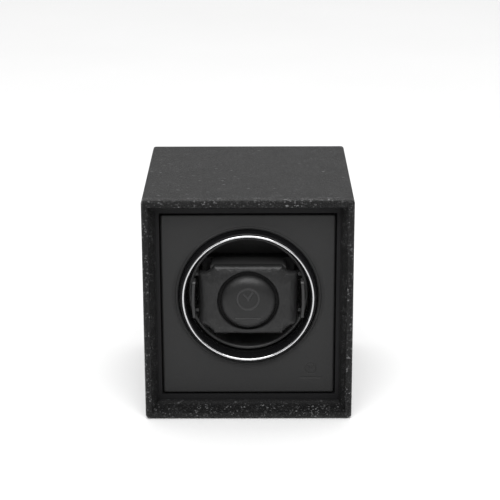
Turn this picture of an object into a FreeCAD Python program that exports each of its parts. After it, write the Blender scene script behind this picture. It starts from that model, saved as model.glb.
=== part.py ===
import FreeCAD, Part
import math
import os

# Single watch winder box. X is to the right, Y to the back and Z up, in millimetres.
# The origin is under the middle of the box, on the surface that it stands on.
# The front faces -Y. The drum and its drive turn about axes along Y.

V = FreeCAD.Vector
ALONG_Y = V(0, 1, 0)

# ---------------------------------------------------------------- case
WIDTH = 130.0
DEPTH = 136.0
BODY_HEIGHT = 142.8
PAD_PROUD = 0.6
LEATHER = 0.8
BOARD = 6.0
EDGE_R = 2.0
RIM = 4.0
BEVEL_IN = 3.6
BEVEL_DEPTH = 10.5
PANEL_RECESS = 12.8
PANEL_SIDE = 11.0
PANEL_LEVEL = 12.3
PANEL_GAP = 0.9
PANEL_BOARD = 6.0
REAR_RECESS = 2.5
COVER = 3.0

# ---------------------------------------------------------------- window and drum
AXIS_ABOVE_BASE = 77.2
RING_R = 40.55
RING_WIRE_R = 0.8
RING_PROUD = 4.3
HOLE_R = 44.0
BEZEL_R = 43.6
FLANGE_R = 49.0
BEZEL_SCREW_R = 46.4
BEZEL_SCREW_ANGLES = (45, 135, 225, 315)
THROAT_R = 37.8
DRUM_R = 37.5
DRUM_WALL = 2.0
DRUM_DEPTH = 25.3
DRUM_FLOOR = 3.0
DRUM_MOUTH_GAP = 0.5
HUB_R = 15.0
HUB_BOSS_R = 7.0
HUB_SCREW_R = 10.5
RIB_Z = 12.0
SHAFT_R = 3.0
BUSH_R = 5.0
BUSH_FLANGE = 1.0
BUSH_FLANGE_R = 8.0
BULKHEAD = 9.0
BATTEN = 8.0
RUNNING = 0.04

# ---------------------------------------------------------------- drive
DRUM_PULLEY_R = 25.0
MOTOR_PULLEY_R = 7.5
BELT_R = 1.2
BELT_CLEAR = 0.05
MOTOR_DROP = 49.8
PULLEY_HALF = 3.0
SHOULDER = 1.6
MOTOR_SHAFT_R = 2.0
GEARBOX_R = 12.5
BRACKET_T = 1.5
BRACKET_FOOT_X = 22.0
BRACKET_SCREW_Z = 9.0

# ---------------------------------------------------------------- watch holder
PAD_HALF_X = 30.6
PAD_HALF_Z = 17.3
PAD_MID_X = 21.8
PAD_MID_Z = 22.4
PAD_FRONT = 5.0
PAD_T = 5.0
BOSS_R = 18.0
BOSS_WELL_R = 19.0
BOSS_WELL = 3.0
BOSS_PROUD = 3.1
SQUEEZE = 7.0
POST_R = 2.0
POST_X = 14.0
SPRING_R = 5.2
SKIRT_X = 23.5
SKIRT_Z = 21.9
HOLDER_FACE_T = 2.5

TAB_PIN_X = 30.0
TAB_PIN_Y = -32.0
TAB_PIN_R = 1.0
TAB_EYE_R = 2.4
TAB_HALF = 7.0
TAB_HEAD_HALF = 12.5
TAB_BOW_R = 100.0
TAB_T = 1.6

# ---------------------------------------------------------------- controls
KNOB_R = 8.0
TURNS_X = 27.0
DIRECTION_X = 6.0
ROCKER_X = -14.5
ROCKER_LEAN = 9.0
JACK_X = -31.0
JACK_R = 4.6
CONTROLS_ABOVE_BASE = 103.4
TRAY_HALF_X = 39.0
TRAY_HALF_Z = 17.0
TRAY_DEEP = 13.5
TRAY_T = 1.6
TRAY_SCREW_X = 43.8
PCB_T = 1.6
WIRE_X = 4.0
TAB_TOP = 1.5
SOCKET_TOP = -8.0

# ---------------------------------------------------------------- screws
# head radius, head height, shank radius and length
M2 = (2.0, 1.3, 1.0, 6.0)
M2_SHORT = (2.0, 1.3, 1.0, 4.2)
M3 = (2.7, 1.8, 1.5, 9.0)
M3_LONG = (2.7, 1.8, 1.5, 15.0)

# ---------------------------------------------------------------- worked out
HALF_W = WIDTH / 2
BASE_Z = PAD_PROUD
TOP_Z = BASE_Z + BODY_HEIGHT
FRONT_Y = -DEPTH / 2
REAR_Y = DEPTH / 2
WALL = LEATHER + BOARD
LINED_WALL = WALL + LEATHER
AXIS_Z = BASE_Z + AXIS_ABOVE_BASE
PANEL_Y = FRONT_Y + PANEL_RECESS
PANEL_BACK_Y = PANEL_Y + LEATHER + PANEL_BOARD
LIP_BACK_Y = PANEL_BACK_Y + 4.0
RING_Y = PANEL_Y - RING_PROUD
COVER_OUT_Y = REAR_Y - REAR_RECESS
COVER_IN_Y = COVER_OUT_Y - COVER
DRUM_FRONT_Y = RING_Y + 9.7
DRUM_FLOOR_Y = DRUM_FRONT_Y + DRUM_DEPTH - DRUM_FLOOR
DRUM_BACK_Y = DRUM_FLOOR_Y + DRUM_FLOOR
DRUM_IN_R = DRUM_R - DRUM_WALL
BULKHEAD_Y0 = DRUM_BACK_Y + 8.5
BULKHEAD_Y1 = BULKHEAD_Y0 + BULKHEAD
BELT_Y = BULKHEAD_Y1 + 6.5
MOTOR_Z = AXIS_Z - MOTOR_DROP
BRACKET_Y = BELT_Y + 8.0
PLATE_Y = RING_Y - PAD_FRONT
PAD_BACK_Y = PLATE_Y + PAD_T
SHELL_BACK_Y = PAD_BACK_Y + 2.0
BODY_FRONT_Y = SHELL_BACK_Y + SQUEEZE + 0.5
BASE_FRONT_Y = BODY_FRONT_Y + 14.5
BASE_BACK_Y = DRUM_FLOOR_Y - 0.6
CONTROLS_Z = BASE_Z + CONTROLS_ABOVE_BASE
TRAY_FLOOR_Y = COVER_OUT_Y - TRAY_DEEP
BOARD_BACK_Y = TRAY_FLOOR_Y - 9.0
PCB_FRONT_Y = BOARD_BACK_Y - PCB_T

nodes = {}
screws = {}


# ---------------------------------------------------------------- shapes
def box(x0, x1, y0, y1, z0, z1):
    return Part.makeBox(x1 - x0, y1 - y0, z1 - z0, V(x0, y0, z0))


def rod(r, y0, y1, x=0.0, z=AXIS_Z):
    return Part.makeCylinder(r, y1 - y0, V(x, y0, z), ALONG_Y)


def post(r, x, y, z0, z1):
    return Part.makeCylinder(r, z1 - z0, V(x, y, z0))


def tube(r_in, r_out, y0, y1, x=0.0, z=AXIS_Z):
    return rod(r_out, y0, y1, x, z).cut(rod(r_in, y0 - 1, y1 + 1, x, z))


def turned(outline, x=0.0, z=AXIS_Z):
    """A ring or disc turned about the line along Y through (x, z) from (radius, y) points."""
    points = [V(x + r, y, z) for r, y in outline]
    face = Part.Face(Part.makePolygon(points + points[:1]))
    return face.revolve(V(x, 0, z), ALONG_Y, 360)


def bead(ring_r, wire_r, y, x=0.0, z=AXIS_Z):
    return Part.makeTorus(ring_r, wire_r, V(x, y, z), ALONG_Y)


def plate(outline, y0, y1):
    """A flat plate from y0 to y1 whose outline is a wire in the plane of X and Z."""
    outline = outline.copy()
    outline.translate(V(0, y0, 0))
    return Part.Face(outline).extrude(V(0, y1 - y0, 0))


def polygon(points):
    """A closed outline through (x, z) points."""
    corners = [V(x, 0, z) for x, z in points]
    return Part.makePolygon(corners + corners[:1])


def profile(points, z0, z1):
    """A bar standing along Z whose section is a closed outline of (x, y) points."""
    corners = [V(x, y, z0) for x, y in points]
    face = Part.Face(Part.makePolygon(corners + corners[:1]))
    return face.extrude(V(0, 0, z1 - z0))


def softened(solid, radius, wanted):
    """The solid with the edges that pass the test rounded to the radius."""
    edges = [edge for edge in solid.Edges if wanted(edge)]
    return solid.makeFillet(radius, edges)


def lies_at(edge, y, tolerance=0.01):
    bounds = edge.BoundBox
    return abs(bounds.YMin - y) < tolerance and abs(bounds.YMax - y) < tolerance


def runs_along_y(edge):
    bounds = edge.BoundBox
    return bounds.YLength > 0.5 and bounds.XLength < 0.01 and bounds.ZLength < 0.01


def inset_box(side, level, y0, y1):
    """A block inside the case, this far in from its sides and from its top and bottom."""
    return box(side - HALF_W, HALF_W - side, y0, y1, BASE_Z + level, TOP_Z - level)


def on_circle(radius, degrees, x=0.0, z=AXIS_Z):
    turn = math.radians(degrees)
    return x + radius * math.cos(turn), z + radius * math.sin(turn)


def mirrored(solid):
    return solid.mirror(V(0, 0, 0), V(1, 0, 0))


def add(name, *solids):
    nodes[name] = solids[0] if len(solids) == 1 else Part.makeCompound(list(solids))


def fasten(name, size, x, z, head_y, way):
    """Adds a pan-head screw with a cross recess, driven along Y, and returns the hole that it fills."""
    head_r, head_t, shank_r, length = size
    back_y = head_y - way * head_t
    tip_y = head_y + way * length
    recess_y = back_y + way * head_t * 0.6
    arm = head_r * 0.62
    slot = shank_r * 0.25
    hole = rod(shank_r, min(head_y, tip_y), max(head_y, tip_y), x, z)
    head = rod(head_r, min(back_y, head_y), max(back_y, head_y), x, z)
    head = softened(head, head_t * 0.45, lambda edge: lies_at(edge, back_y))
    y0 = min(back_y - way, recess_y)
    y1 = max(back_y - way, recess_y)
    solid = head.fuse(hole).removeSplitter()
    solid = solid.cut(box(x - arm, x + arm, y0, y1, z - slot, z + slot))
    solid = solid.cut(box(x - slot, x + slot, y0, y1, z - arm, z + arm))
    screws.setdefault(name, []).append(solid)
    return hole


def grub_screw(r, x, y, z0, z1):
    """A set screw standing along Z, with a hexagon socket in its top."""
    turns = [math.radians(60 * i) for i in range(6)]
    corners = [V(x + 0.45 * r * math.cos(a), y + 0.45 * r * math.sin(a), z1) for a in turns]
    socket = Part.Face(Part.makePolygon(corners + corners[:1])).extrude(V(0, 0, (z0 - z1) * 0.45))
    return post(r, x, y, z0, z1).cut(socket)


# ---------------------------------------------------------------- case
def bevelled_mouth(lean):
    """The space in front of the bevels, widening towards the front."""
    over = 2.0
    front = RIM - lean - over * BEVEL_IN / BEVEL_DEPTH
    back = RIM - lean + BEVEL_IN
    return Part.makeWedge(
        front - HALF_W, FRONT_Y - over, BASE_Z + front, BASE_Z + back, back - HALF_W,
        HALF_W - front, FRONT_Y + BEVEL_DEPTH, TOP_Z - front, TOP_Z - back, HALF_W - back,
    )


def case_form(skin):
    """The case as one square tube with a bevelled mouth, drawn this far inside its finished skin."""
    half = HALF_W - skin
    bar = box(-half, half, FRONT_Y + skin, REAR_Y - skin, BASE_Z + skin, TOP_Z - skin)
    bar = softened(bar, EDGE_R - skin, lambda edge: True)
    lean = skin * math.hypot(BEVEL_IN, BEVEL_DEPTH) / BEVEL_DEPTH
    inset = LINED_WALL - skin
    inside = inset_box(inset, inset, FRONT_Y + BEVEL_DEPTH - 1, REAR_Y + 1)
    return bar.cut(bevelled_mouth(lean).fuse(inside))


def case_boards():
    """Four boards mitred at the corners."""
    form = case_form(LEATHER)
    deep = 12.0
    over = 3.0
    x = HALF_W - LEATHER
    z0 = BASE_Z + LEATHER
    z1 = TOP_Z - LEATHER
    outer = [(-x - over, z0 - over), (x + over, z0 - over), (x + over, z1 + over), (-x - over, z1 + over)]
    inner = [(deep - x, z0 + deep), (x - deep, z0 + deep), (x - deep, z1 - deep), (deep - x, z1 - deep)]
    for i, name in enumerate(("bottom_board", "right_board", "top_board", "left_board")):
        j = (i + 1) % 4
        mitre = plate(polygon([outer[i], outer[j], inner[j], inner[i]]), FRONT_Y, REAR_Y)
        add(name, form.common(mitre))
    return form


def case_leather(form):
    """Leather outside, over the rims and bevels, and turned in at the front and back."""
    leather = case_form(0.0).cut(form)
    add("case_leather", leather.cut(inset_box(WALL, WALL, PANEL_Y, COVER_IN_Y)))


def panel_surround():
    """Black frame glued into the mouth of the case. The front panel drops into it with a fine gap."""
    side = PANEL_SIDE - PANEL_GAP
    level = PANEL_LEVEL - PANEL_GAP
    lip = 3.0
    frame = inset_box(WALL, WALL, PANEL_Y, LIP_BACK_Y)
    frame = frame.cut(inset_box(side, level, PANEL_Y - 1, PANEL_BACK_Y))
    frame = frame.cut(inset_box(PANEL_SIDE + lip, PANEL_LEVEL + lip, PANEL_Y, LIP_BACK_Y + 1))
    screw_x = HALF_W - PANEL_SIDE - 2.3
    holes = []
    for x in (-screw_x, screw_x):
        for z in (AXIS_Z - 48.0, AXIS_Z + 34.0):
            holes.append(fasten("m2_screws", M2, x, z, LIP_BACK_Y, -1))
    add("panel_surround", frame.cut(holes))
    return holes


def front_panel(holes):
    edge_r = 1.2
    corner_r = 1.5
    side = PANEL_SIDE + LEATHER
    level = PANEL_LEVEL + LEATHER
    board = inset_box(side, level, PANEL_Y + LEATHER, PANEL_BACK_Y)
    board = board.cut(rod(HOLE_R + LEATHER, PANEL_Y, PANEL_BACK_Y + 1))
    add("front_panel", board.cut(holes))

    skin = inset_box(PANEL_SIDE, PANEL_LEVEL, PANEL_Y, PANEL_BACK_Y)
    skin = softened(skin, corner_r, runs_along_y)
    skin = softened(skin, edge_r, lambda edge: lies_at(edge, PANEL_Y))
    skin = skin.cut(inset_box(side, level, PANEL_Y + LEATHER, PANEL_BACK_Y + 1))
    skin = skin.cut(rod(HOLE_R, PANEL_Y - 1, PANEL_BACK_Y))
    turned_in = tube(HOLE_R, HOLE_R + LEATHER, PANEL_Y + 0.4, PANEL_BACK_Y)
    rolled = bead(HOLE_R + 1.0, 0.9, PANEL_Y + 0.45)
    rolled = rolled.cut(rod(HOLE_R, PANEL_Y - 2, PANEL_Y + 3))
    rolled = rolled.cut(tube(HOLE_R + LEATHER, HOLE_R + 4, PANEL_Y + LEATHER, PANEL_Y + 3))
    add("panel_leather", skin.fuse([turned_in, rolled]))


# ---------------------------------------------------------------- window
def window():
    """Glossy bezel held from behind, with the chrome ring bedded in a groove round its front."""
    front = RING_Y
    back = PANEL_BACK_Y + 2.0
    relief = front + 2.4
    drum_clear_r = DRUM_R + 1.1
    seat_y = DRUM_FRONT_Y - DRUM_MOUTH_GAP
    wall = 1.8
    outline = [
        (RING_R - 1.2, front),
        (RING_R + 1.1, front),
        (RING_R + 1.7, front + 0.3),
        (RING_R + 2.0, front + 0.9),
        (BEZEL_R, PANEL_Y + 0.2),
        (BEZEL_R, PANEL_BACK_Y),
        (FLANGE_R, PANEL_BACK_Y),
        (FLANGE_R, back),
        (BEZEL_R - wall, back),
        (BEZEL_R - wall, PANEL_Y + 0.6),
        (BEZEL_R - wall - 0.8, relief),
        (drum_clear_r + wall, relief),
        (drum_clear_r + wall, back),
        (drum_clear_r, back),
        (drum_clear_r, seat_y),
        (THROAT_R, seat_y),
        (THROAT_R, front + 5.2),
        (THROAT_R + 0.3, front + 4.0),
        (THROAT_R + 0.8, front + 2.0),
    ]
    ring = bead(RING_R, RING_WIRE_R, front)
    holes = []
    for angle in BEZEL_SCREW_ANGLES:
        x, z = on_circle(BEZEL_SCREW_R, angle)
        holes.append(fasten("m2_screws", M2, x, z, back, -1))
    add("window_bezel", turned(outline).cut([ring] + holes))
    add("chrome_trim_ring", ring)
    return holes


# ---------------------------------------------------------------- drum
def drum():
    """The cup with its guide ribs, and the hub screwed to its back."""
    lip_r = 1.15
    cup = tube(DRUM_IN_R, DRUM_R, DRUM_FRONT_Y + lip_r, DRUM_BACK_Y)
    cup = cup.fuse(rod(DRUM_IN_R + 0.5, DRUM_FLOOR_Y, DRUM_BACK_Y))
    cup = cup.fuse(bead(DRUM_R - DRUM_WALL / 2, lip_r, DRUM_FRONT_Y + lip_r))
    for z in (AXIS_Z - RIB_Z, AXIS_Z + RIB_Z):
        rib = box(31.2, 34.0, DRUM_FRONT_Y + 3, DRUM_FLOOR_Y + 0.5, z - 1, z + 1)
        cup = cup.fuse([rib, mirrored(rib)])
    hub_y = DRUM_BACK_Y + 3.0
    hub_end = BULKHEAD_Y0 - BUSH_FLANGE - 0.6
    hub = rod(HUB_R, DRUM_BACK_Y, hub_y).fuse(rod(HUB_BOSS_R, hub_y, hub_end))
    holes = [rod(SHAFT_R, DRUM_BACK_Y, hub_end)]
    sunk_y = DRUM_FLOOR_Y + 1.5
    for angle in (90, 210, 330):
        x, z = on_circle(HUB_SCREW_R, angle)
        cup = cup.cut(rod(M2[0] + 0.2, DRUM_FLOOR_Y - 1, sunk_y, x, z))
        holes.append(fasten("hub_screws", M2_SHORT, x, z, sunk_y, 1))
    add("drum_cup", cup.removeSplitter().cut(holes[1:]))
    add("drum_hub", hub.removeSplitter().cut(holes))
    return hub_end


# ---------------------------------------------------------------- bulkhead and bearings
def bulkhead():
    x_out = HALF_W - WALL
    batten = box(x_out - BATTEN, x_out, BULKHEAD_Y1, BULKHEAD_Y1 + BATTEN, AXIS_Z - 55, AXIS_Z + 48)
    holes = []
    for x in (BATTEN / 2 - x_out, x_out - BATTEN / 2):
        for z in (AXIS_Z - 46.0, AXIS_Z + 40.0):
            holes.append(fasten("bulkhead_screws", M3_LONG, x, z, BULKHEAD_Y0, 1))
    add("bulkhead_battens", batten.cut(holes), mirrored(batten).cut(holes))
    foot_y = BULKHEAD_Y1 + BRACKET_T
    bracket_holes = []
    for x in (-BRACKET_FOOT_X, BRACKET_FOOT_X):
        for z in (MOTOR_Z - BRACKET_SCREW_Z, MOTOR_Z + BRACKET_SCREW_Z):
            bracket_holes.append(fasten("m3_screws", M3, x, z, foot_y, -1))
    board = inset_box(WALL, WALL, BULKHEAD_Y0, BULKHEAD_Y1)
    add("bulkhead", board.cut([rod(BUSH_R, BULKHEAD_Y0, BULKHEAD_Y1)] + holes + bracket_holes))
    return bracket_holes


def bush(face_y, way):
    """A flanged bush pressed into the bulkhead, its flange on the face at face_y."""
    tip_y = face_y + way * 4.0
    flange_y = face_y - way * BUSH_FLANGE
    sleeve = rod(BUSH_R, min(face_y, tip_y), max(face_y, tip_y))
    flange = rod(BUSH_FLANGE_R, min(face_y, flange_y), max(face_y, flange_y))
    solid = sleeve.fuse(flange).removeSplitter()
    return solid.cut(rod(SHAFT_R + RUNNING, BULKHEAD_Y0 - 5, BULKHEAD_Y1 + 5))


# ---------------------------------------------------------------- drive
def pulley(groove_r, hub_r, bore_r, hub_y0, hub_y1, z):
    """A round-belt pulley: a rim with a half-round groove, and a hub bored for its shaft."""
    rim = rod(groove_r + SHOULDER, BELT_Y - PULLEY_HALF, BELT_Y + PULLEY_HALF, 0, z)
    wire = BELT_R + BELT_CLEAR
    groove = bead(groove_r, wire, BELT_Y, 0, z)
    open_side = tube(groove_r, groove_r + SHOULDER + 1, BELT_Y - wire, BELT_Y + wire, 0, z)
    solid = rim.cut(groove.fuse(open_side))
    solid = solid.fuse(rod(hub_r, hub_y0, hub_y1, 0, z)).removeSplitter()
    return solid.cut(rod(bore_r, hub_y0 - 1, hub_y1 + 1, 0, z))


def drum_drive(hub_end):
    """The drum's shaft, its pulley with six lightening holes, and the clip and washers that hold them."""
    hub_y0 = BULKHEAD_Y1 + BUSH_FLANGE + 0.3
    hub_y1 = BELT_Y + 8.3
    web = 1.3
    rim_in = DRUM_PULLEY_R - 4.0
    wheel = pulley(DRUM_PULLEY_R, HUB_BOSS_R, SHAFT_R, hub_y0, hub_y1, AXIS_Z)
    wheel = wheel.cut(tube(HUB_BOSS_R, rim_in, BELT_Y - PULLEY_HALF - 1, BELT_Y - web))
    wheel = wheel.cut(tube(HUB_BOSS_R, rim_in, BELT_Y + web, BELT_Y + PULLEY_HALF + 1))
    for i in range(6):
        x, z = on_circle(14.0, 60 * i)
        wheel = wheel.cut(rod(4.2, BELT_Y - web, BELT_Y + web, x, z))
    grub_r = 1.5
    grub_y = BELT_Y + 5.7
    grub_top = AXIS_Z + HUB_BOSS_R - 0.3
    add("drum_pulley", wheel.cut(post(grub_r, 0, grub_y, AXIS_Z, AXIS_Z + HUB_BOSS_R + 1)))
    add("drum_pulley_screw", grub_screw(grub_r, 0, grub_y, AXIS_Z + SHAFT_R + 0.02, grub_top))
    clip_t = 0.8
    washer_t = 0.45
    gap = 0.05
    clip_y = hub_y1 + washer_t + 2 * gap
    clip_in = SHAFT_R - 0.5
    shaft_end = clip_y + 3.0
    shaft = rod(SHAFT_R, DRUM_BACK_Y, shaft_end)
    shaft = softened(shaft, 0.5, lambda edge: lies_at(edge, shaft_end))
    add("drum_shaft", shaft.cut(tube(clip_in, SHAFT_R + 1, clip_y, clip_y + clip_t)))
    mouth = box(-1.6, 1.6, clip_y, clip_y + clip_t, AXIS_Z - 8, AXIS_Z)
    add("shaft_circlip", tube(clip_in, SHAFT_R + 2.0, clip_y, clip_y + clip_t).cut(mouth))
    washers = [tube(SHAFT_R + RUNNING, 6.0, y, y + washer_t) for y in (hub_end + gap, hub_y1 + gap)]
    add("shaft_washers", *washers)


def drive_belt():
    """A round rubber belt: two arcs about the pulleys joined by their outer tangents."""
    lean = math.asin((DRUM_PULLEY_R - MOTOR_PULLEY_R) / MOTOR_DROP)
    out = math.cos(lean)
    down = math.sin(lean)
    top_x = DRUM_PULLEY_R * out
    top_z = AXIS_Z - DRUM_PULLEY_R * down
    low_x = MOTOR_PULLEY_R * out
    low_z = MOTOR_Z - MOTOR_PULLEY_R * down
    top_right = V(top_x, BELT_Y, top_z)
    top_left = V(-top_x, BELT_Y, top_z)
    low_right = V(low_x, BELT_Y, low_z)
    low_left = V(-low_x, BELT_Y, low_z)
    crown = V(0, BELT_Y, AXIS_Z + DRUM_PULLEY_R)
    foot = V(0, BELT_Y, MOTOR_Z - MOTOR_PULLEY_R)
    path = [
        Part.LineSegment(low_right, top_right).toShape(),
        Part.Arc(top_right, crown, top_left).toShape(),
        Part.LineSegment(top_left, low_left).toShape(),
        Part.Arc(low_left, foot, low_right).toShape(),
    ]
    section = Part.Wire([Part.makeCircle(BELT_R, low_right, top_right - low_right)])
    add("drive_belt", Part.Wire(path).makePipeShell([section], True, False))


def motor(bracket_holes):
    """Geared motor on a folded bracket behind the bulkhead, its shaft towards the front."""
    face_y = BRACKET_Y + BRACKET_T
    gearbox_end = face_y + 20.0
    can_end = gearbox_end + 24.0
    cap_end = can_end + 2.5
    boss_r = 4.0
    seat_end = face_y + 6.2
    half_x = 17.0
    half_z = 14.0
    z0 = MOTOR_Z - half_z
    z1 = MOTOR_Z + half_z
    holes = [fasten("m2_screws", M2, x, MOTOR_Z, BRACKET_Y, 1) for x in (-8.5, 8.5)]

    bracket = box(-half_x, half_x, BRACKET_Y, face_y, z0, z1)
    leg = box(half_x - BRACKET_T, half_x, BULKHEAD_Y1, face_y, z0, z1)
    foot = box(half_x, BRACKET_FOOT_X + 5.0, BULKHEAD_Y1, BULKHEAD_Y1 + BRACKET_T, z0, z1)
    bracket = bracket.fuse([leg, foot, mirrored(leg), mirrored(foot)]).removeSplitter()
    add("motor_bracket", bracket.cut([rod(boss_r, BRACKET_Y, face_y, 0, MOTOR_Z)] + holes + bracket_holes))

    gearbox = rod(GEARBOX_R, face_y, gearbox_end, 0, MOTOR_Z)
    gearbox = softened(gearbox, 0.6, lambda edge: lies_at(edge, face_y))
    gearbox = gearbox.fuse(rod(boss_r, face_y - 2.5, face_y, 0, MOTOR_Z)).removeSplitter()
    seat = rod(MOTOR_SHAFT_R + RUNNING, face_y - 3.0, seat_end, 0, MOTOR_Z)
    add("gearbox_case", gearbox.cut([seat] + holes))
    can = rod(GEARBOX_R - 0.4, gearbox_end, can_end, 0, MOTOR_Z)
    add("motor_can", softened(can, 1.0, lambda edge: lies_at(edge, can_end)))
    add("motor_end_cap", rod(9.0, can_end, cap_end, 0, MOTOR_Z))
    tab = box(WIRE_X - 1.2, WIRE_X + 1.2, cap_end, cap_end + 3.0, MOTOR_Z - 2.0, MOTOR_Z + TAB_TOP)
    add("motor_terminals", tab, mirrored(tab))

    shaft_tip = BELT_Y - PULLEY_HALF
    add("motor_shaft", rod(MOTOR_SHAFT_R, shaft_tip, seat_end - 0.2, 0, MOTOR_Z))
    hub_y1 = BELT_Y + PULLEY_HALF + 2.2
    add("motor_pulley", pulley(MOTOR_PULLEY_R, 4.6, MOTOR_SHAFT_R, shaft_tip, hub_y1, MOTOR_Z))
    return cap_end + 1.5


# ---------------------------------------------------------------- watch holder
def cushion_outline(trim):
    """A square with a wing each side and hollowed corners, cut back all round by trim."""
    mid_x = PAD_MID_X - trim
    mid_z = PAD_MID_Z - trim
    wing_x = PAD_HALF_X - trim
    wing_z = PAD_HALF_Z - trim
    tip_r = 2.0
    hollow_x = mid_x + 3.4
    hollow_z = wing_z + 1.0
    shave = tip_r * (1 - math.sqrt(0.5))
    edges = []

    def at(x, z):
        return V(x, 0, AXIS_Z + z)

    for x_way in (-1, 1):
        for z_way in (-1, 1):
            mid = at(x_way * mid_x, z_way * mid_z)
            hollow = at(x_way * hollow_x, z_way * hollow_z)
            shoulder = at(x_way * (wing_x - tip_r), z_way * wing_z)
            corner = at(x_way * (wing_x - shave), z_way * (wing_z - shave))
            tip = at(x_way * wing_x, z_way * (wing_z - tip_r))
            edges.append(Part.Arc(mid, hollow, shoulder).toShape())
            edges.append(Part.Arc(shoulder, corner, tip).toShape())
        side = (at(x_way * wing_x, tip_r - wing_z), at(x_way * wing_x, wing_z - tip_r))
        edges.append(Part.LineSegment(*side).toShape())
    for z_way in (-1, 1):
        edge = (at(-mid_x, z_way * mid_z), at(mid_x, z_way * mid_z))
        edges.append(Part.LineSegment(*edge).toShape())
    return Part.Wire(Part.__sortEdges__(edges))


def hollow_bar(x, z, y0, y1, wall, radius):
    """A square sleeve along Y about the drum's axis, x and z being its outer half sizes."""
    outer = softened(box(-x, x, y0, y1, AXIS_Z - z, AXIS_Z + z), radius, runs_along_y)
    x -= wall
    z -= wall
    inner = softened(box(-x, x, y0 - 1, y1 + 1, AXIS_Z - z, AXIS_Z + z), radius / 2, runs_along_y)
    return outer.cut(inner)


def holder_front():
    """The pressing half: leather pad with its raised boss, on a shell that slides on two posts."""
    half = [
        (PAD_MID_X - 2.0, PLATE_Y),
        (PAD_HALF_X - 5.0, PLATE_Y + 0.5),
        (PAD_HALF_X - 2.0, PLATE_Y + 1.6),
        (PAD_HALF_X, PLATE_Y + 4.2),
        (PAD_HALF_X + 1.0, SHELL_BACK_Y),
    ]
    crown = [(-x, y) for x, y in reversed(half)] + half
    backing = plate(cushion_outline(1.0), PAD_BACK_Y, SHELL_BACK_Y)
    well = rod(BOSS_WELL_R, PLATE_Y - 1, PLATE_Y + BOSS_WELL)
    pad = plate(cushion_outline(0.0), PLATE_Y, SHELL_BACK_Y)
    pad = pad.common(profile(crown, AXIS_Z - PAD_MID_Z, AXIS_Z + PAD_MID_Z))
    add("front_pad", pad.cut(backing).cut(well))
    boss = rod(BOSS_R, PLATE_Y - BOSS_PROUD, PLATE_Y + BOSS_WELL)
    add("boss_pad", softened(boss, 2.6, lambda edge: lies_at(edge, PLATE_Y - BOSS_PROUD)))

    socket_y = PAD_BACK_Y + 0.3
    post_end = BASE_FRONT_Y - SQUEEZE - 0.5
    posts = [rod(POST_R, socket_y, post_end, x) for x in (-POST_X, POST_X)]
    skirt = hollow_bar(SKIRT_X, SKIRT_Z, SHELL_BACK_Y, post_end - 0.2, 1.5, 2.5)
    add("front_shell", backing.fuse(skirt).cut(posts))
    add("guide_posts", *posts)
    clip_y = BODY_FRONT_Y + HOLDER_FACE_T + 0.3
    clips = []
    for x in (-POST_X, POST_X):
        mouth = box(x - 1.0, x + 1.0, clip_y, clip_y + 0.8, AXIS_Z - 6, AXIS_Z)
        clips.append(tube(POST_R, POST_R + 1.8, clip_y, clip_y + 0.8, x).cut(mouth))
    add("post_clips", *clips)


def holder_back():
    """The fixed half: a hollow body for the posts and the spring, on the base that carries the tabs."""
    x = SKIRT_X - 1.8
    z = SKIRT_Z - 1.8
    body = hollow_bar(x, z, BODY_FRONT_Y, BASE_FRONT_Y, 2.0, 1.0)
    face_back = BODY_FRONT_Y + HOLDER_FACE_T
    body = body.fuse(box(1 - x, x - 1, BODY_FRONT_Y, face_back, AXIS_Z - z + 1, AXIS_Z + z - 1))
    bores = [rod(POST_R + RUNNING, BODY_FRONT_Y - 1, face_back + 1, side) for side in (-POST_X, POST_X)]
    bores.append(rod(SPRING_R + 1.8, BODY_FRONT_Y - 1, face_back + 1))
    add("holder_body", body.removeSplitter().cut(bores))

    half_x = 29.0
    half_z = 19.5
    lug_half = TAB_HALF + 3.3
    slot_half = TAB_HALF + 0.3
    lug_y0 = TAB_PIN_Y - TAB_EYE_R
    lug_y1 = TAB_PIN_Y + TAB_EYE_R
    base = box(-half_x, half_x, BASE_FRONT_Y, BASE_BACK_Y, AXIS_Z - half_z, AXIS_Z + half_z)
    base = base.common(rod(DRUM_IN_R - 0.9, BASE_FRONT_Y, BASE_BACK_Y))
    lug = box(half_x - 2.0, TAB_PIN_X + TAB_EYE_R, lug_y0, lug_y1, AXIS_Z - lug_half, AXIS_Z + lug_half)
    slot_x = TAB_PIN_X - TAB_EYE_R - 0.5
    slot_y0 = BASE_FRONT_Y - 4
    slot_y1 = BASE_BACK_Y + 4
    slot = box(slot_x, TAB_PIN_X + 6.0, slot_y0, slot_y1, AXIS_Z - slot_half, AXIS_Z + slot_half)
    pin = post(TAB_PIN_R, TAB_PIN_X, TAB_PIN_Y, AXIS_Z + 1.0 - lug_half, AXIS_Z - 1.0 + lug_half)
    base = base.fuse([lug, mirrored(lug)]).removeSplitter()
    add("holder_base", base.cut([slot, mirrored(slot), pin, mirrored(pin)]))
    add("tab_pins", pin, mirrored(pin))


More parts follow.
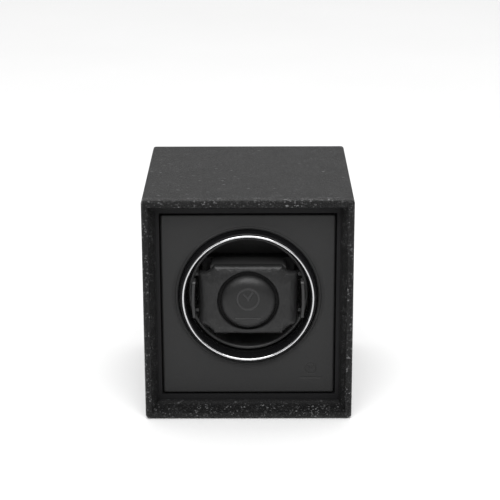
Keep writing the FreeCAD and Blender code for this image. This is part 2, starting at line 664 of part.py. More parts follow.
def release_tabs():
    """Sprung tabs each side of the cushion, pressed inwards to let the holder out of the drum."""
    eye = post(TAB_EYE_R, TAB_PIN_X, TAB_PIN_Y, AXIS_Z - TAB_HALF, AXIS_Z + TAB_HALF)
    lip_y = DRUM_FRONT_Y - 1.0
    bend_y = DRUM_FRONT_Y + 4.0
    neck_y = RING_Y + 5.4
    head_y = RING_Y - 3.4
    out = TAB_PIN_X + 5.0
    arm_out = out - 0.8
    section = [
        (TAB_PIN_X + 0.9, TAB_PIN_Y),
        (TAB_PIN_X + TAB_EYE_R, TAB_PIN_Y),
        (arm_out, bend_y),
        (arm_out, lip_y),
        (out, neck_y),
        (out, neck_y - 2.0),
        (out - TAB_T, neck_y - 2.0),
        (arm_out - 1.8, lip_y),
        (arm_out - 1.8, bend_y),
    ]
    arm = profile(section, AXIS_Z - TAB_HALF, AXIS_Z + TAB_HALF)
    bow = tube(TAB_BOW_R - TAB_T, TAB_BOW_R, head_y, neck_y, out - TAB_BOW_R)
    half = TAB_HEAD_HALF
    head = bow.common(box(TAB_PIN_X, TAB_PIN_X + 9, head_y, neck_y, AXIS_Z - half, AXIS_Z + half))

    def at_corner(edge):
        return abs(abs(edge.CenterOfMass.z - AXIS_Z) - half) < 0.01 and edge.BoundBox.YLength < 0.01

    tab = arm.fuse([softened(head, 2.5, at_corner), eye]).removeSplitter()
    bore = post(TAB_PIN_R + RUNNING, TAB_PIN_X, TAB_PIN_Y, AXIS_Z - half, AXIS_Z + half)
    tab = tab.cut(bore)
    add("right_release_tab", tab)
    add("left_release_tab", mirrored(tab))


def squeeze_spring():
    """The cushion's coil spring, from the moving shell's back to the holder's base."""
    wire_r = 0.45
    y0 = SHELL_BACK_Y + wire_r + 0.1
    length = BASE_FRONT_Y - wire_r - y0
    helix = Part.makeHelix(length / 7, length, SPRING_R)
    section = Part.Wire([Part.makeCircle(wire_r, V(SPRING_R, 0, 0), ALONG_Y)])
    coil = Part.Wire(helix).makePipeShell([section], True, True)
    coil.rotate(V(0, 0, 0), V(1, 0, 0), -90)
    coil.translate(V(0, y0, AXIS_Z))
    add("squeeze_spring", coil)


# ---------------------------------------------------------------- rear cover and controls
def rear_cover(tray_holes):
    inset = LINED_WALL + 0.4
    cover = inset_box(inset, inset, COVER_IN_Y, COVER_OUT_Y)
    cover = softened(cover, 1.5, runs_along_y)
    cover = softened(cover, 0.6, lambda edge: lies_at(edge, COVER_OUT_Y))
    x = TRAY_HALF_X + TRAY_T
    z = TRAY_HALF_Z + TRAY_T
    cover = cover.cut(box(-x, x, COVER_IN_Y, COVER_OUT_Y, CONTROLS_Z - z, CONTROLS_Z + z))
    block = 12.0
    edge_gap = 6.5
    x_out = HALF_W - WALL
    z_low = BASE_Z + WALL
    z_high = TOP_Z - WALL
    blocks = []
    holes = []
    for z0, screw_z in ((z_low, z_low + edge_gap), (z_high - block, z_high - edge_gap)):
        right = box(x_out - block, x_out, COVER_IN_Y - 14.0, COVER_IN_Y, z0, z0 + block)
        for way, corner in ((1, right), (-1, mirrored(right))):
            hole = fasten("m3_screws", M3, way * (x_out - edge_gap), screw_z, COVER_OUT_Y, -1)
            blocks.append(corner.cut(hole))
            holes.append(hole)
    add("rear_cover", cover.cut(holes + tray_holes))
    add("corner_blocks", *blocks)


def control_tray():
    """A sunk tray in the rear cover, so that no control stands out behind the case."""
    x = TRAY_HALF_X
    z = TRAY_HALF_Z
    lip_t = 1.0
    back_y = TRAY_FLOOR_Y - TRAY_T
    tray = box(-x - TRAY_T, x + TRAY_T, back_y, COVER_OUT_Y, CONTROLS_Z - z - TRAY_T, CONTROLS_Z + z + TRAY_T)
    flange_x = x + TRAY_T + 6.4
    flange_z = z + TRAY_T + 2.4
    lip_y = COVER_OUT_Y + lip_t
    flange = box(-flange_x, flange_x, COVER_OUT_Y, lip_y, CONTROLS_Z - flange_z, CONTROLS_Z + flange_z)
    flange = softened(flange, 2.5, runs_along_y)
    well = box(-x, x, TRAY_FLOOR_Y, COVER_OUT_Y + 5, CONTROLS_Z - z, CONTROLS_Z + z)
    tray = tray.fuse(flange).removeSplitter().cut(softened(well, 2.0, runs_along_y))
    y1 = TRAY_FLOOR_Y
    cuts = [rod(4.5, back_y, y1, knob_x, CONTROLS_Z) for knob_x in (TURNS_X, DIRECTION_X)]
    cuts.append(box(ROCKER_X - 5.0, ROCKER_X + 5.0, back_y, y1, CONTROLS_Z - 7.0, CONTROLS_Z + 7.0))
    cuts.append(rod(JACK_R, back_y, y1, JACK_X, CONTROLS_Z))
    tray_holes = []
    for side in (-TRAY_SCREW_X, TRAY_SCREW_X):
        tray_holes.append(fasten("m2_screws", M2, side, CONTROLS_Z, lip_y, -1))
    board_holes = []
    for stand_x in (-35.5, 36.5):
        for stand_z in (CONTROLS_Z - 13.5, CONTROLS_Z + 13.5):
            tray = tray.fuse(rod(2.6, BOARD_BACK_Y, back_y, stand_x, stand_z))
            board_holes.append(fasten("m2_screws", M2, stand_x, stand_z, PCB_FRONT_Y, 1))
    add("control_tray", tray.removeSplitter().cut(cuts + tray_holes + board_holes))
    marks = []
    for knob_x, angles in ((TURNS_X, (210, 150, 90, 30, -30)), (DIRECTION_X, (135, 90, 45))):
        for angle in angles:
            mark_x, mark_z = on_circle(KNOB_R + 2.2, angle, knob_x, CONTROLS_Z)
            marks.append(rod(0.55, y1, y1 + 0.25, mark_x, mark_z))
    add("dial_marks", *marks)
    return tray_holes, board_holes


def circuit_board(board_holes):
    front_y = PCB_FRONT_Y
    board = box(-39.0, 39.5, front_y, BOARD_BACK_Y, CONTROLS_Z - 17, CONTROLS_Z + 17)
    add("circuit_board", board.cut(board_holes))
    chip_y = front_y - 2.0
    chip = box(10.0, 20.0, chip_y, front_y, CONTROLS_Z - 5, CONTROLS_Z + 5)
    add("control_chip", softened(chip, 0.3, lambda edge: lies_at(edge, chip_y)))
    add("motor_socket", box(-7.0, 7.0, front_y - 5.5, front_y, CONTROLS_Z - 15, CONTROLS_Z + SOCKET_TOP))


def rotary_controls():
    """Two rotary switches fixed through the tray's floor, each with a nut and a knob."""
    back_y = TRAY_FLOOR_Y - TRAY_T
    neck_y = TRAY_FLOOR_Y + 2.4
    nut_y = TRAY_FLOOR_Y + 1.8
    switches = []
    nuts = []
    for name, x in (("turns_knob", TURNS_X), ("direction_knob", DIRECTION_X)):
        body = box(x - 6.5, x + 6.5, BOARD_BACK_Y, back_y, CONTROLS_Z - 6.5, CONTROLS_Z + 6.5)
        body = body.fuse(rod(4.5, back_y, neck_y, x, CONTROLS_Z)).removeSplitter()
        switches.append(body.cut(rod(SHAFT_R + RUNNING, BOARD_BACK_Y + 1.2, neck_y + 1, x, CONTROLS_Z)))
        hexagon = polygon([on_circle(6.4, 60 * i, x, CONTROLS_Z) for i in range(6)])
        nuts.append(plate(hexagon, TRAY_FLOOR_Y, nut_y).cut(rod(4.5, TRAY_FLOOR_Y, nut_y, x, CONTROLS_Z)))
        add(name, knob(x))
    add("rotary_switches", *switches)
    add("switch_nuts", *nuts)


def knob(x):
    """A fluted knob with a pointer groove and a stem, hollow underneath so that it clears the nut."""
    y0 = TRAY_FLOOR_Y + 0.6
    y1 = TRAY_FLOOR_Y + 11.4
    under_y = TRAY_FLOOR_Y + 3.2
    outline = [
        (0, y0),
        (KNOB_R, y0),
        (KNOB_R, y0 + 1.6),
        (KNOB_R - 0.6, y0 + 2.2),
        (KNOB_R - 0.9, y1 - 0.8),
        (KNOB_R - 1.7, y1),
        (0, y1),
    ]
    flutes = 20
    cuts = [rod(7.0, y0 - 1, under_y, x, CONTROLS_Z)]
    cuts.append(box(x - 0.45, x + 0.45, y1 - 0.5, y1 + 1, CONTROLS_Z + 1.5, CONTROLS_Z + 9))
    for i in range(flutes):
        flute_x, flute_z = on_circle(KNOB_R + 0.2, 360 / flutes * (i + 0.5), x, CONTROLS_Z)
        cuts.append(rod(0.8, y0 + 2.2, y1 + 1, flute_x, flute_z))
    solid = turned(outline, x, CONTROLS_Z).cut(cuts)
    return solid.fuse(rod(SHAFT_R, BOARD_BACK_Y + 1.3, under_y + 0.1, x, CONTROLS_Z)).removeSplitter()


def power_switch():
    """A rocker on trunnions in its frame. At rest it leans to the off side."""
    floor_y = TRAY_FLOOR_Y
    rim_y = floor_y + 1.2
    x = ROCKER_X
    half_x = 5.0
    half_z = 7.0
    trunnion_r = 0.8
    trunnion_y = floor_y - 0.6
    frame = box(x - half_x, x + half_x, BOARD_BACK_Y, floor_y, CONTROLS_Z - half_z, CONTROLS_Z + half_z)
    rim_x = half_x + 1.0
    rim_z = half_z + 1.2
    rim = box(x - rim_x, x + rim_x, floor_y, rim_y, CONTROLS_Z - rim_z, CONTROLS_Z + rim_z)
    rim = softened(rim, 0.5, lambda edge: lies_at(edge, rim_y))
    frame = frame.fuse(rim).removeSplitter()
    pocket_x = half_x - 1.0
    pocket_z = half_z - 0.9
    pocket_z0 = CONTROLS_Z - pocket_z
    pocket_z1 = CONTROLS_Z + pocket_z
    pocket = box(x - pocket_x, x + pocket_x, floor_y - 5.5, floor_y + 5, pocket_z0, pocket_z1)
    start = V(x - pocket_x - 0.7, trunnion_y, CONTROLS_Z)
    trunnions = Part.makeCylinder(trunnion_r, 2 * pocket_x + 1.4, start, V(1, 0, 0))
    seat = Part.makeCylinder(trunnion_r + RUNNING, 2 * pocket_x + 1.6, start - V(0.1, 0, 0), V(1, 0, 0))
    add("rocker_housing", frame.cut([pocket, seat]))
    cap_x = pocket_x - 0.3
    reach = 5.2
    low_y = floor_y + 0.9
    high_y = low_y + 2 * reach * math.tan(math.radians(ROCKER_LEAN))
    heel_y = floor_y - 2.6
    section = [(low_y, -reach), (high_y, reach), (heel_y, 2.0), (heel_y, -2.4)]
    corners = [V(x - cap_x, y, CONTROLS_Z + z) for y, z in section]
    cap = Part.Face(Part.makePolygon(corners + corners[:1])).extrude(V(2 * cap_x, 0, 0))
    add("power_rocker", cap.fuse(trunnions).removeSplitter())


def dc_jack():
    back_y = TRAY_FLOOR_Y - TRAY_T
    mouth_y = TRAY_FLOOR_Y + 1.2
    socket_y = mouth_y - 9.0
    jack = box(JACK_X - JACK_R, JACK_X + JACK_R, BOARD_BACK_Y, back_y, CONTROLS_Z - 5.5, CONTROLS_Z + 5.5)
    jack = jack.fuse(rod(JACK_R, back_y, TRAY_FLOOR_Y, JACK_X, CONTROLS_Z))
    jack = jack.fuse(rod(6.0, TRAY_FLOOR_Y, mouth_y, JACK_X, CONTROLS_Z)).removeSplitter()
    jack = softened(jack, 0.4, lambda edge: lies_at(edge, mouth_y))
    add("dc_jack", jack.cut(rod(3.2, socket_y, mouth_y + 1, JACK_X, CONTROLS_Z)))
    pin_tip = mouth_y - 1.5
    pin = rod(1.0, socket_y, pin_tip, JACK_X, CONTROLS_Z)
    add("jack_pin", softened(pin, 0.5, lambda edge: lies_at(edge, pin_tip)))


# ---------------------------------------------------------------- motor wires and foot pads
def routed(points, r):
    """A round wire along straight runs joined by tangent arcs."""
    edges = []
    start = points[0]
    for before, here, after in zip(points, points[1:], points[2:]):
        into = (here - before).normalize()
        out = (after - here).normalize()
        half_turn = into.getAngle(out) / 2
        back = 0.45 * min((here - before).Length, (after - here).Length)
        bend_r = back / math.tan(half_turn)
        begin = here - into * back
        end = here + out * back
        middle = here + (out - into).normalize() * (bend_r / math.cos(half_turn) - bend_r)
        edges.append(Part.LineSegment(start, begin).toShape())
        edges.append(Part.Arc(begin, middle, end).toShape())
        start = end
    edges.append(Part.LineSegment(start, points[-1]).toShape())
    section = Part.Wire([Part.makeCircle(r, points[0], points[1] - points[0])])
    return Part.Wire(edges).makePipeShell([section], True, False)


def motor_wires(terminal_y):
    socket_y = PCB_FRONT_Y - 2.8
    route = [
        V(WIRE_X, terminal_y, MOTOR_Z + TAB_TOP),
        V(WIRE_X, terminal_y, MOTOR_Z + 28),
        V(WIRE_X, socket_y, CONTROLS_Z - 32),
        V(WIRE_X, socket_y, CONTROLS_Z - 15),
    ]
    wire = routed(route, 0.7)
    add("motor_wires", wire, mirrored(wire))


def foot_pads():
    spots = [(x, y) for x in (-50.0, 50.0) for y in (-53.0, 53.0)]
    add("foot_pads", *[post(6.5, x, y, 0.0, PAD_PROUD) for x, y in spots])


# ---------------------------------------------------------------- build
def main():
    case_leather(case_boards())
    panel_holes = panel_surround()
    front_panel(panel_holes + window())
    drum_drive(drum())
    bracket_holes = bulkhead()
    add("shaft_bushes", bush(BULKHEAD_Y0, 1), bush(BULKHEAD_Y1, -1))
    drive_belt()
    motor_wires(motor(bracket_holes))
    holder_front()
    holder_back()
    release_tabs()
    squeeze_spring()
    tray_holes, board_holes = control_tray()
    rear_cover(tray_holes)
    circuit_board(board_holes)
    rotary_controls()
    power_switch()
    dc_jack()
    foot_pads()
    for name, solids in screws.items():
        add(name, *solids)
    os.makedirs("parts", exist_ok=True)
    for name, shape in nodes.items():
        shape.exportStep("parts/" + name + ".step")
    print(len(nodes), "nodes")


main()
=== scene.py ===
"""Looks for a single watch winder box: leather, chrome, mouldings and the watch cushion, on the CAD frame."""

import math

import bmesh
import bpy
import numpy as np
from bpy.props import FloatProperty, FloatVectorProperty, IntProperty, PointerProperty
from bpy.types import Operator, Panel, PropertyGroup
from mathutils import Matrix, Vector, noise


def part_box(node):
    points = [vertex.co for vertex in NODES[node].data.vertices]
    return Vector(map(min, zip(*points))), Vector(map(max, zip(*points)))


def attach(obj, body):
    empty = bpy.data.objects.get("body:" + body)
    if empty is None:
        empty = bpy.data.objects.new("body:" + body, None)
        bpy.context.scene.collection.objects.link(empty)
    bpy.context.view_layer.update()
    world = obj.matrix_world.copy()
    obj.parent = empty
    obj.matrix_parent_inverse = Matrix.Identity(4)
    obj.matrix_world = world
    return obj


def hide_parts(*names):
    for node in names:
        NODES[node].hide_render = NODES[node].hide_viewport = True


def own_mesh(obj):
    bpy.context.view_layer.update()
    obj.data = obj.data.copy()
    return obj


bl_info = {
    "name": "Watch Winder Box",
    "version": (1, 0, 0),
    "blender": (4, 5, 0),
    "location": "View3D > Sidebar > Winder",
    "description": "Gives a watch winder box its leather, chrome, mouldings, cushion and studio",
    "category": "Object",
}

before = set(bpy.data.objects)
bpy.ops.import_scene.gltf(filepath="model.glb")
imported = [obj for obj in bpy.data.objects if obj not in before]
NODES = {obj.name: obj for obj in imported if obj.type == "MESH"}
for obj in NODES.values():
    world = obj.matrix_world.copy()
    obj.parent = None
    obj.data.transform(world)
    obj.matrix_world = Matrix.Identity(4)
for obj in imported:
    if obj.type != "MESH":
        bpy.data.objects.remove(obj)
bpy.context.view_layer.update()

MM = 0.001
PAD_LOW, PAD_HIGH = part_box("front_pad")
BOSS_LOW, BOSS_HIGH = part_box("boss_pad")
RING_LOW, RING_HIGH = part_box("chrome_trim_ring")
PANEL_LOW, PANEL_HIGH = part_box("panel_leather")
CASE_LOW, CASE_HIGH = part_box("case_leather")
BOARD_LOW, BOARD_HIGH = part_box("circuit_board")
SPRING_LOW, SPRING_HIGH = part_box("squeeze_spring")
AXIS_Z = (RING_LOW.z + RING_HIGH.z) / 2

# Radius of the coil spring's wire and the number of its turns
SPRING_WIRE = 0.45 * MM
SPRING_TURNS = 7
# The boss sits a little low in the cushion's well
BOSS_DROP = 0.7 * MM
BOSS_GAP = 0.8 * MM
WELL_EDGE = 0.9 * MM
# Radii of the panel's hole and of the cushion's well, in millimetres
HOLE_MM = 44.0
WELL_MM = 19.0


# ---------------------------------------------------------------- settings
def length_property(name, description, default, top):
    return FloatProperty(
        name=name, description=description, default=default, min=0.0, max=top, unit="LENGTH", precision=5
    )


def colour_property(name, description, default):
    return FloatVectorProperty(
        name=name, description=description, default=default, min=0.0, max=1.0, size=3, subtype="COLOR"
    )


def share_property(name, description, default):
    return FloatProperty(
        name=name, description=description, default=default, min=0.0, max=1.0, subtype="FACTOR"
    )


def power_property(name, description, default):
    return FloatProperty(name=name, description=description, default=default, min=0.0)


class LeatherSettings(PropertyGroup):
    case_colour: colour_property("Case colour", "Dye of the leather round the case", (0.012, 0.012, 0.0122))
    panel_colour: colour_property("Panel colour", "Dye of the panel's leather", (0.012, 0.012, 0.0122))
    cushion_colour: colour_property("Cushion colour", "Dye of the cushion's cover", (0.014, 0.014, 0.0142))
    case_grain: length_property("Case grain", "Width of one pebble of the case's grain", 1.15 * MM, 0.005)
    panel_grain: length_property("Panel grain", "Width of one pebble of the panel's grain", 0.5 * MM, 0.005)
    cushion_grain: length_property("Cushion grain", "Width of one pebble of the cushion", 0.45 * MM, 0.005)
    case_roughness: share_property("Case roughness", "Roughness of the case's leather", 0.42)
    panel_roughness: share_property("Panel roughness", "Roughness of the panel's leather", 0.5)


class CushionSettings(PropertyGroup):
    neck_half: length_property("Middle half width", "Half width of the tall middle", 21.8 * MM, 0.05)
    wing_half: length_property("Wing half height", "Half height of the cushion's wings", 17.3 * MM, 0.05)
    well_radius: length_property("Well radius", "Radius of the well round the boss", 19.0 * MM, 0.05)
    edge_radius: length_property("Edge radius", "Rounding of the cushion's front edge", 1.7 * MM, 0.01)
    crease: length_property("Crease depth", "Depth of the creases in the cover", 0.24 * MM, 0.005)
    emblem: length_property("Emblem radius", "Radius of the clock pressed into the boss", 6.6 * MM, 0.02)


class MetalSettings(PropertyGroup):
    chrome_colour: colour_property("Chrome", "Colour of the trim ring", (0.63, 0.63, 0.64))
    steel_colour: colour_property("Steel", "Colour of the zinc-plated parts", (0.55, 0.56, 0.58))
    bronze_colour: colour_property("Bronze", "Colour of the sintered bushes", (0.52, 0.35, 0.16))


class MouldingSettings(PropertyGroup):
    gloss_colour: colour_property("Gloss black", "Colour of the window's bezel", (0.006, 0.006, 0.0065))
    satin_colour: colour_property("Satin black", "Colour of the drum and the holder", (0.048, 0.048, 0.0485))
    cover_colour: colour_property("Cover black", "Colour of the cover and controls", (0.016, 0.016, 0.017))


class StageSettings(PropertyGroup):
    lens: FloatProperty(name="Lens", description="Focal length", default=118.2, unit="CAMERA", min=10.0)
    distance: length_property("Distance", "From the lens to the point looked at", 1.0026, 10.0)
    pitch: FloatProperty(name="Pitch", description="Look down", default=math.radians(17.91), subtype="ANGLE")
    yaw: FloatProperty(name="Yaw", description="Look sideways", default=math.radians(-0.195), subtype="ANGLE")
    roll: FloatProperty(name="Roll", description="Tilt", default=math.radians(0.19), subtype="ANGLE")
    aim_right: length_property("Aim to the right", "Point looked at, from the middle", 1.25 * MM, 0.1)
    aim_height: length_property("Aim height", "Point looked at, above the table", 112.4 * MM, 0.5)
    floor_half: length_property("Floor half size", "Half the width of the pale floor", 6.0, 50.0)
    world_light: power_property("Sky", "Strength of the even light", 0.24)
    ceiling_light: power_property("Ceiling light", "Power of the wide light above", 320.0)
    backdrop_light: power_property("Backdrop light", "Power of the wide light behind", 34.0)
    front_light: power_property("Front light", "Power of the softbox in front", 18.0)


class WinderSettings(PropertyGroup):
    leather: PointerProperty(type=LeatherSettings)
    cushion: PointerProperty(type=CushionSettings)
    metal: PointerProperty(type=MetalSettings)
    moulding: PointerProperty(type=MouldingSettings)
    stage: PointerProperty(type=StageSettings)
    seed: IntProperty(name="Seed", description="Shifts the creases of the cushion", default=7)


# ---------------------------------------------------------------- finishes
class Value:
    """A shader socket. Python arithmetic on it adds Math nodes, or Vector Math nodes for a vector."""

    def __init__(self, finish, socket):
        self.finish = finish
        self.socket = socket

    def is_vector(self):
        return self.socket.type in {"VECTOR", "RGBA"}

    def combine(self, operation, left, right):
        sides = [side for side in (left, right) if isinstance(side, Value)]
        if any(side.is_vector() for side in sides):
            return self.combine_vectors(operation, left, right)
        return self.finish.node("ShaderNodeMath", {"operation": operation}, {0: left, 1: right})

    def combine_vectors(self, operation, left, right):
        scalar = not isinstance(right, Value) or not right.is_vector()
        if operation == "MULTIPLY" and scalar:
            return self.finish.node("ShaderNodeVectorMath", {"operation": "SCALE"}, {0: left, "Scale": right})
        if not isinstance(right, Value):
            right = (right, right, right)
        return self.finish.node("ShaderNodeVectorMath", {"operation": operation}, {0: left, 1: right})

    def __add__(self, other):
        return self.combine("ADD", self, other)

    def __radd__(self, other):
        return self.combine("ADD", self, other)

    def __sub__(self, other):
        return self.combine("SUBTRACT", self, other)

    def __rsub__(self, other):
        return self.combine("SUBTRACT", other, self)

    def __mul__(self, other):
        return self.combine("MULTIPLY", self, other)

    def __rmul__(self, other):
        return self.combine("MULTIPLY", self, other)

    def __truediv__(self, other):
        return self.combine("DIVIDE", self, other)

    def __pow__(self, other):
        return self.combine("POWER", self, other)

    def __abs__(self):
        return self.finish.node("ShaderNodeMath", {"operation": "ABSOLUTE"}, {0: self})

    def wave(self):
        return self.finish.node("ShaderNodeMath", {"operation": "SINE"}, {0: self})

    def lowest(self, other):
        return self.combine("MINIMUM", self, other)

    def highest(self, other):
        return self.combine("MAXIMUM", self, other)

    def fade(self, start, end):
        """0 at start and 1 at end, with a smooth change between them."""
        inputs = {"Value": self, "From Min": start, "From Max": end}
        return self.finish.node("ShaderNodeMapRange", {"interpolation_type": "SMOOTHSTEP"}, inputs)

    def axis(self, index):
        return self.finish.node("ShaderNodeSeparateXYZ", {}, {0: self}, output=index)


class Finish:
    """One material, built from node expressions."""

    def __init__(self, name):
        self.material = bpy.data.materials.new(name)
        self.material.use_nodes = True
        self.tree = self.material.node_tree
        self.tree.nodes.clear()

    def node(self, kind, settings, inputs, output=0):
        """Adds a node, sets its settings and then its sockets, and returns the output asked for, if any."""
        made = self.tree.nodes.new(kind)
        for key, setting in settings.items():
            setattr(made, key, setting)
        for key, given in inputs.items():
            socket = made.inputs[key] if isinstance(key, int) else self.find(made.inputs, key)
            if isinstance(given, Value):
                self.tree.links.new(given.socket, socket)
            else:
                socket.default_value = given
        if output is None:
            return None
        found = made.outputs[output] if isinstance(output, int) else self.find(made.outputs, output)
        return Value(self, found)

    @staticmethod
    def find(sockets, key):
        return next(socket for socket in sockets if key in {socket.identifier, socket.name})

    def place(self):
        """The point on the piece, in millimetres of the object's own frame."""
        return self.node("ShaderNodeTexCoord", {}, {}, output="Object") * (1 / MM)

    def noise(self, at, scale, detail=2.0, roughness=0.5, output="Fac"):
        inputs = {"Vector": at, "Scale": scale, "Detail": detail, "Roughness": roughness}
        return self.node("ShaderNodeTexNoise", {}, inputs, output)

    def cells(self, at, scale, feature="F1", output="Distance", randomness=1.0):
        inputs = {"Vector": at, "Scale": scale, "Randomness": randomness}
        return self.node("ShaderNodeTexVoronoi", {"feature": feature}, inputs, output)

    def stretch(self, at, x, y, z):
        return self.node("ShaderNodeVectorMath", {"operation": "MULTIPLY"}, {0: at, 1: (x, y, z)})

    def mix(self, share, first, second):
        ends = {"Factor_Float": share, "A_Color": self.opaque(first), "B_Color": self.opaque(second)}
        return self.node("ShaderNodeMix", {"data_type": "RGBA"}, ends, output="Result_Color")

    @staticmethod
    def opaque(colour):
        return colour if isinstance(colour, Value) else (*colour, 1.0)

    def bump(self, height, depth_mm):
        inputs = {"Height": height, "Distance": depth_mm * MM, "Strength": 1.0}
        return self.node("ShaderNodeBump", {}, inputs)

    def done(self, **inputs):
        """Closes the material with a Principled shader and returns it."""
        named = {key.replace("_", " "): given for key, given in inputs.items()}
        for key in ("Base Color", "Emission Color"):
            if key in named and not isinstance(named[key], Value):
                named[key] = (*named[key], 1.0)
        surface = self.node("ShaderNodeBsdfPrincipled", {}, named)
        self.node("ShaderNodeOutputMaterial", {}, {"Surface": surface}, output=None)
        return self.material


def shade(colour, factor):
    return tuple(min(1.0, part * factor) for part in colour)


def clock_mark(finish, x, z, radius):
    """A plain clock face: a ring and two hands. 1 on the lines and 0 off them."""
    line = 0.075 * radius
    soft = 0.06 * radius
    spread = (x * x + z * z) ** 0.5
    mark = 1 - abs(spread - radius).fade(line, line + soft)
    for hand_x, hand_z in ((-0.38, 0.42), (0.42, 0.60)):
        end_x = hand_x * radius
        end_z = hand_z * radius
        along = (x * end_x + z * end_z) / (end_x * end_x + end_z * end_z)
        along = along.lowest(1.0).highest(0.0)
        off_x = x - along * end_x
        off_z = z - along * end_z
        away = (off_x * off_x + off_z * off_z) ** 0.5
        mark = mark.highest(1 - away.fade(line, line + soft))
    hub = 1 - spread.fade(line * 1.6, line * 1.6 + soft)
    return mark.highest(hub)


def case_leather_finish(look):
    """Pebbled leatherette: soft pebbles, flatter in patches, with scattered scars, a glossier front rim with
    painted glints, and a painted highlight along the front outer edges.
    """
    finish = Finish("pebbled_case_leather")
    at = finish.place()
    drift = finish.noise(at, 0.5, 2.0, output="Color")
    warped = at + drift * 1.1
    pebbles = finish.cells(warped, MM / look.case_grain, "DISTANCE_TO_EDGE").fade(0.0, 0.34)
    patches = finish.noise(at, 0.07, 2.0).fade(0.38, 0.66)
    fine = finish.noise(at, 3.2, 4.0, 0.6)
    spots = finish.cells(at + drift * 2.0, 0.15)
    scars = (1 - spots.fade(0.07, 0.22)) * finish.noise(at, 0.05, 2.0).fade(0.40, 0.56)
    depth = (CASE_LOW.y / MM + 9.0 - at.axis(1)).fade(0.0, 3.0)
    pressed = 0.35 + patches * 0.35
    height = pebbles * pressed + fine * 0.22 + scars * 1.1 + depth * pebbles * 1.2
    # Painted glints: random pebbles in clusters, thickest on the front rim, get a much lighter colour that
    # stands for specular sparkle.
    pick = finish.cells(at, 1.15, output="Color").axis(0)
    clusters = finish.noise(at, 0.13, 3.0).fade(0.44, 0.60)
    painted_glints = pick.fade(0.82, 0.97) * (0.16 + clusters * 0.84) * (0.12 + depth * 0.5)
    # Painted highlight: a lighter colour along the front outer edges of the case stands for light caught on
    # the rounded edge.
    out_x = (CASE_HIGH.x / MM - abs(at.axis(0))).lowest(CASE_HIGH.z / MM - at.axis(2))
    edge = (1 - out_x.fade(0.3, 0.7)) * (1 - (at.axis(1) - CASE_LOW.y / MM).fade(0.2, 0.7))
    hollows = finish.mix(pebbles, shade(look.case_colour, 0.72), shade(look.case_colour, 1.08))
    colour = finish.mix(patches * 0.35, hollows, shade(look.case_colour, 1.35))
    colour = finish.mix(scars * 0.8, colour, shade(look.case_colour, 5.0))
    colour = finish.mix(painted_glints, colour, shade(look.case_colour, 22.0))
    colour = finish.mix(edge * 0.7, colour, shade(look.case_colour, 6.0))
    roughness = look.case_roughness + (1 - pebbles) * 0.12 - scars * 0.10 - depth * 0.14 + fine * 0.06
    return finish.done(
        Base_Color=colour,
        Roughness=roughness,
        Normal=finish.bump(height, 0.50),
        Specular_IOR_Level=0.17,
    )


def panel_leather_finish(look):
    """Finer leatherette, with a small plain clock pressed into its lower right corner."""
    finish = Finish("fine_panel_leather")
    at = finish.place()
    drift = finish.noise(at, 0.8, 2.0, output="Color")
    pebbles = finish.cells(at + drift * 0.7, MM / look.panel_grain, "DISTANCE_TO_EDGE").fade(0.0, 0.36)
    broad = finish.noise(at, 0.03, 2.0)
    fine = finish.noise(at, 4.5, 3.0)
    centre_x = PANEL_HIGH.x / MM - 14.5
    centre_z = PANEL_LOW.z / MM + 16.5
    x = at.axis(0) - centre_x
    z = at.axis(2) - centre_z
    bar = (1 - abs(z + 6.2).fade(0.30, 0.55)) * (1 - abs(x).fade(6.6, 7.0))
    pressed = clock_mark(finish, x, z, 3.4).highest(bar)
    up = at.axis(2) - AXIS_Z / MM
    reach = (at.axis(0) * at.axis(0) + up * up) ** 0.5
    bulge = 1 - reach.fade(HOLE_MM, HOLE_MM + 4.5)
    height = pebbles * 0.35 + fine * 0.12 - pressed * 2.4 + bulge * 14.0
    tone = finish.mix(pebbles, shade(look.panel_colour, 0.80), shade(look.panel_colour, 1.06))
    tone = finish.mix(broad * 0.30, tone, shade(look.panel_colour, 1.35))
    tone = finish.mix(pressed * 0.55, tone, shade(look.panel_colour, 0.45))
    roughness = look.panel_roughness + (1 - pebbles) * 0.08 + broad * 0.06 - pressed * 0.10
    return finish.done(
        Base_Color=tone,
        Roughness=roughness,
        Normal=finish.bump(height, 0.07),
        Specular_IOR_Level=0.4,
    )


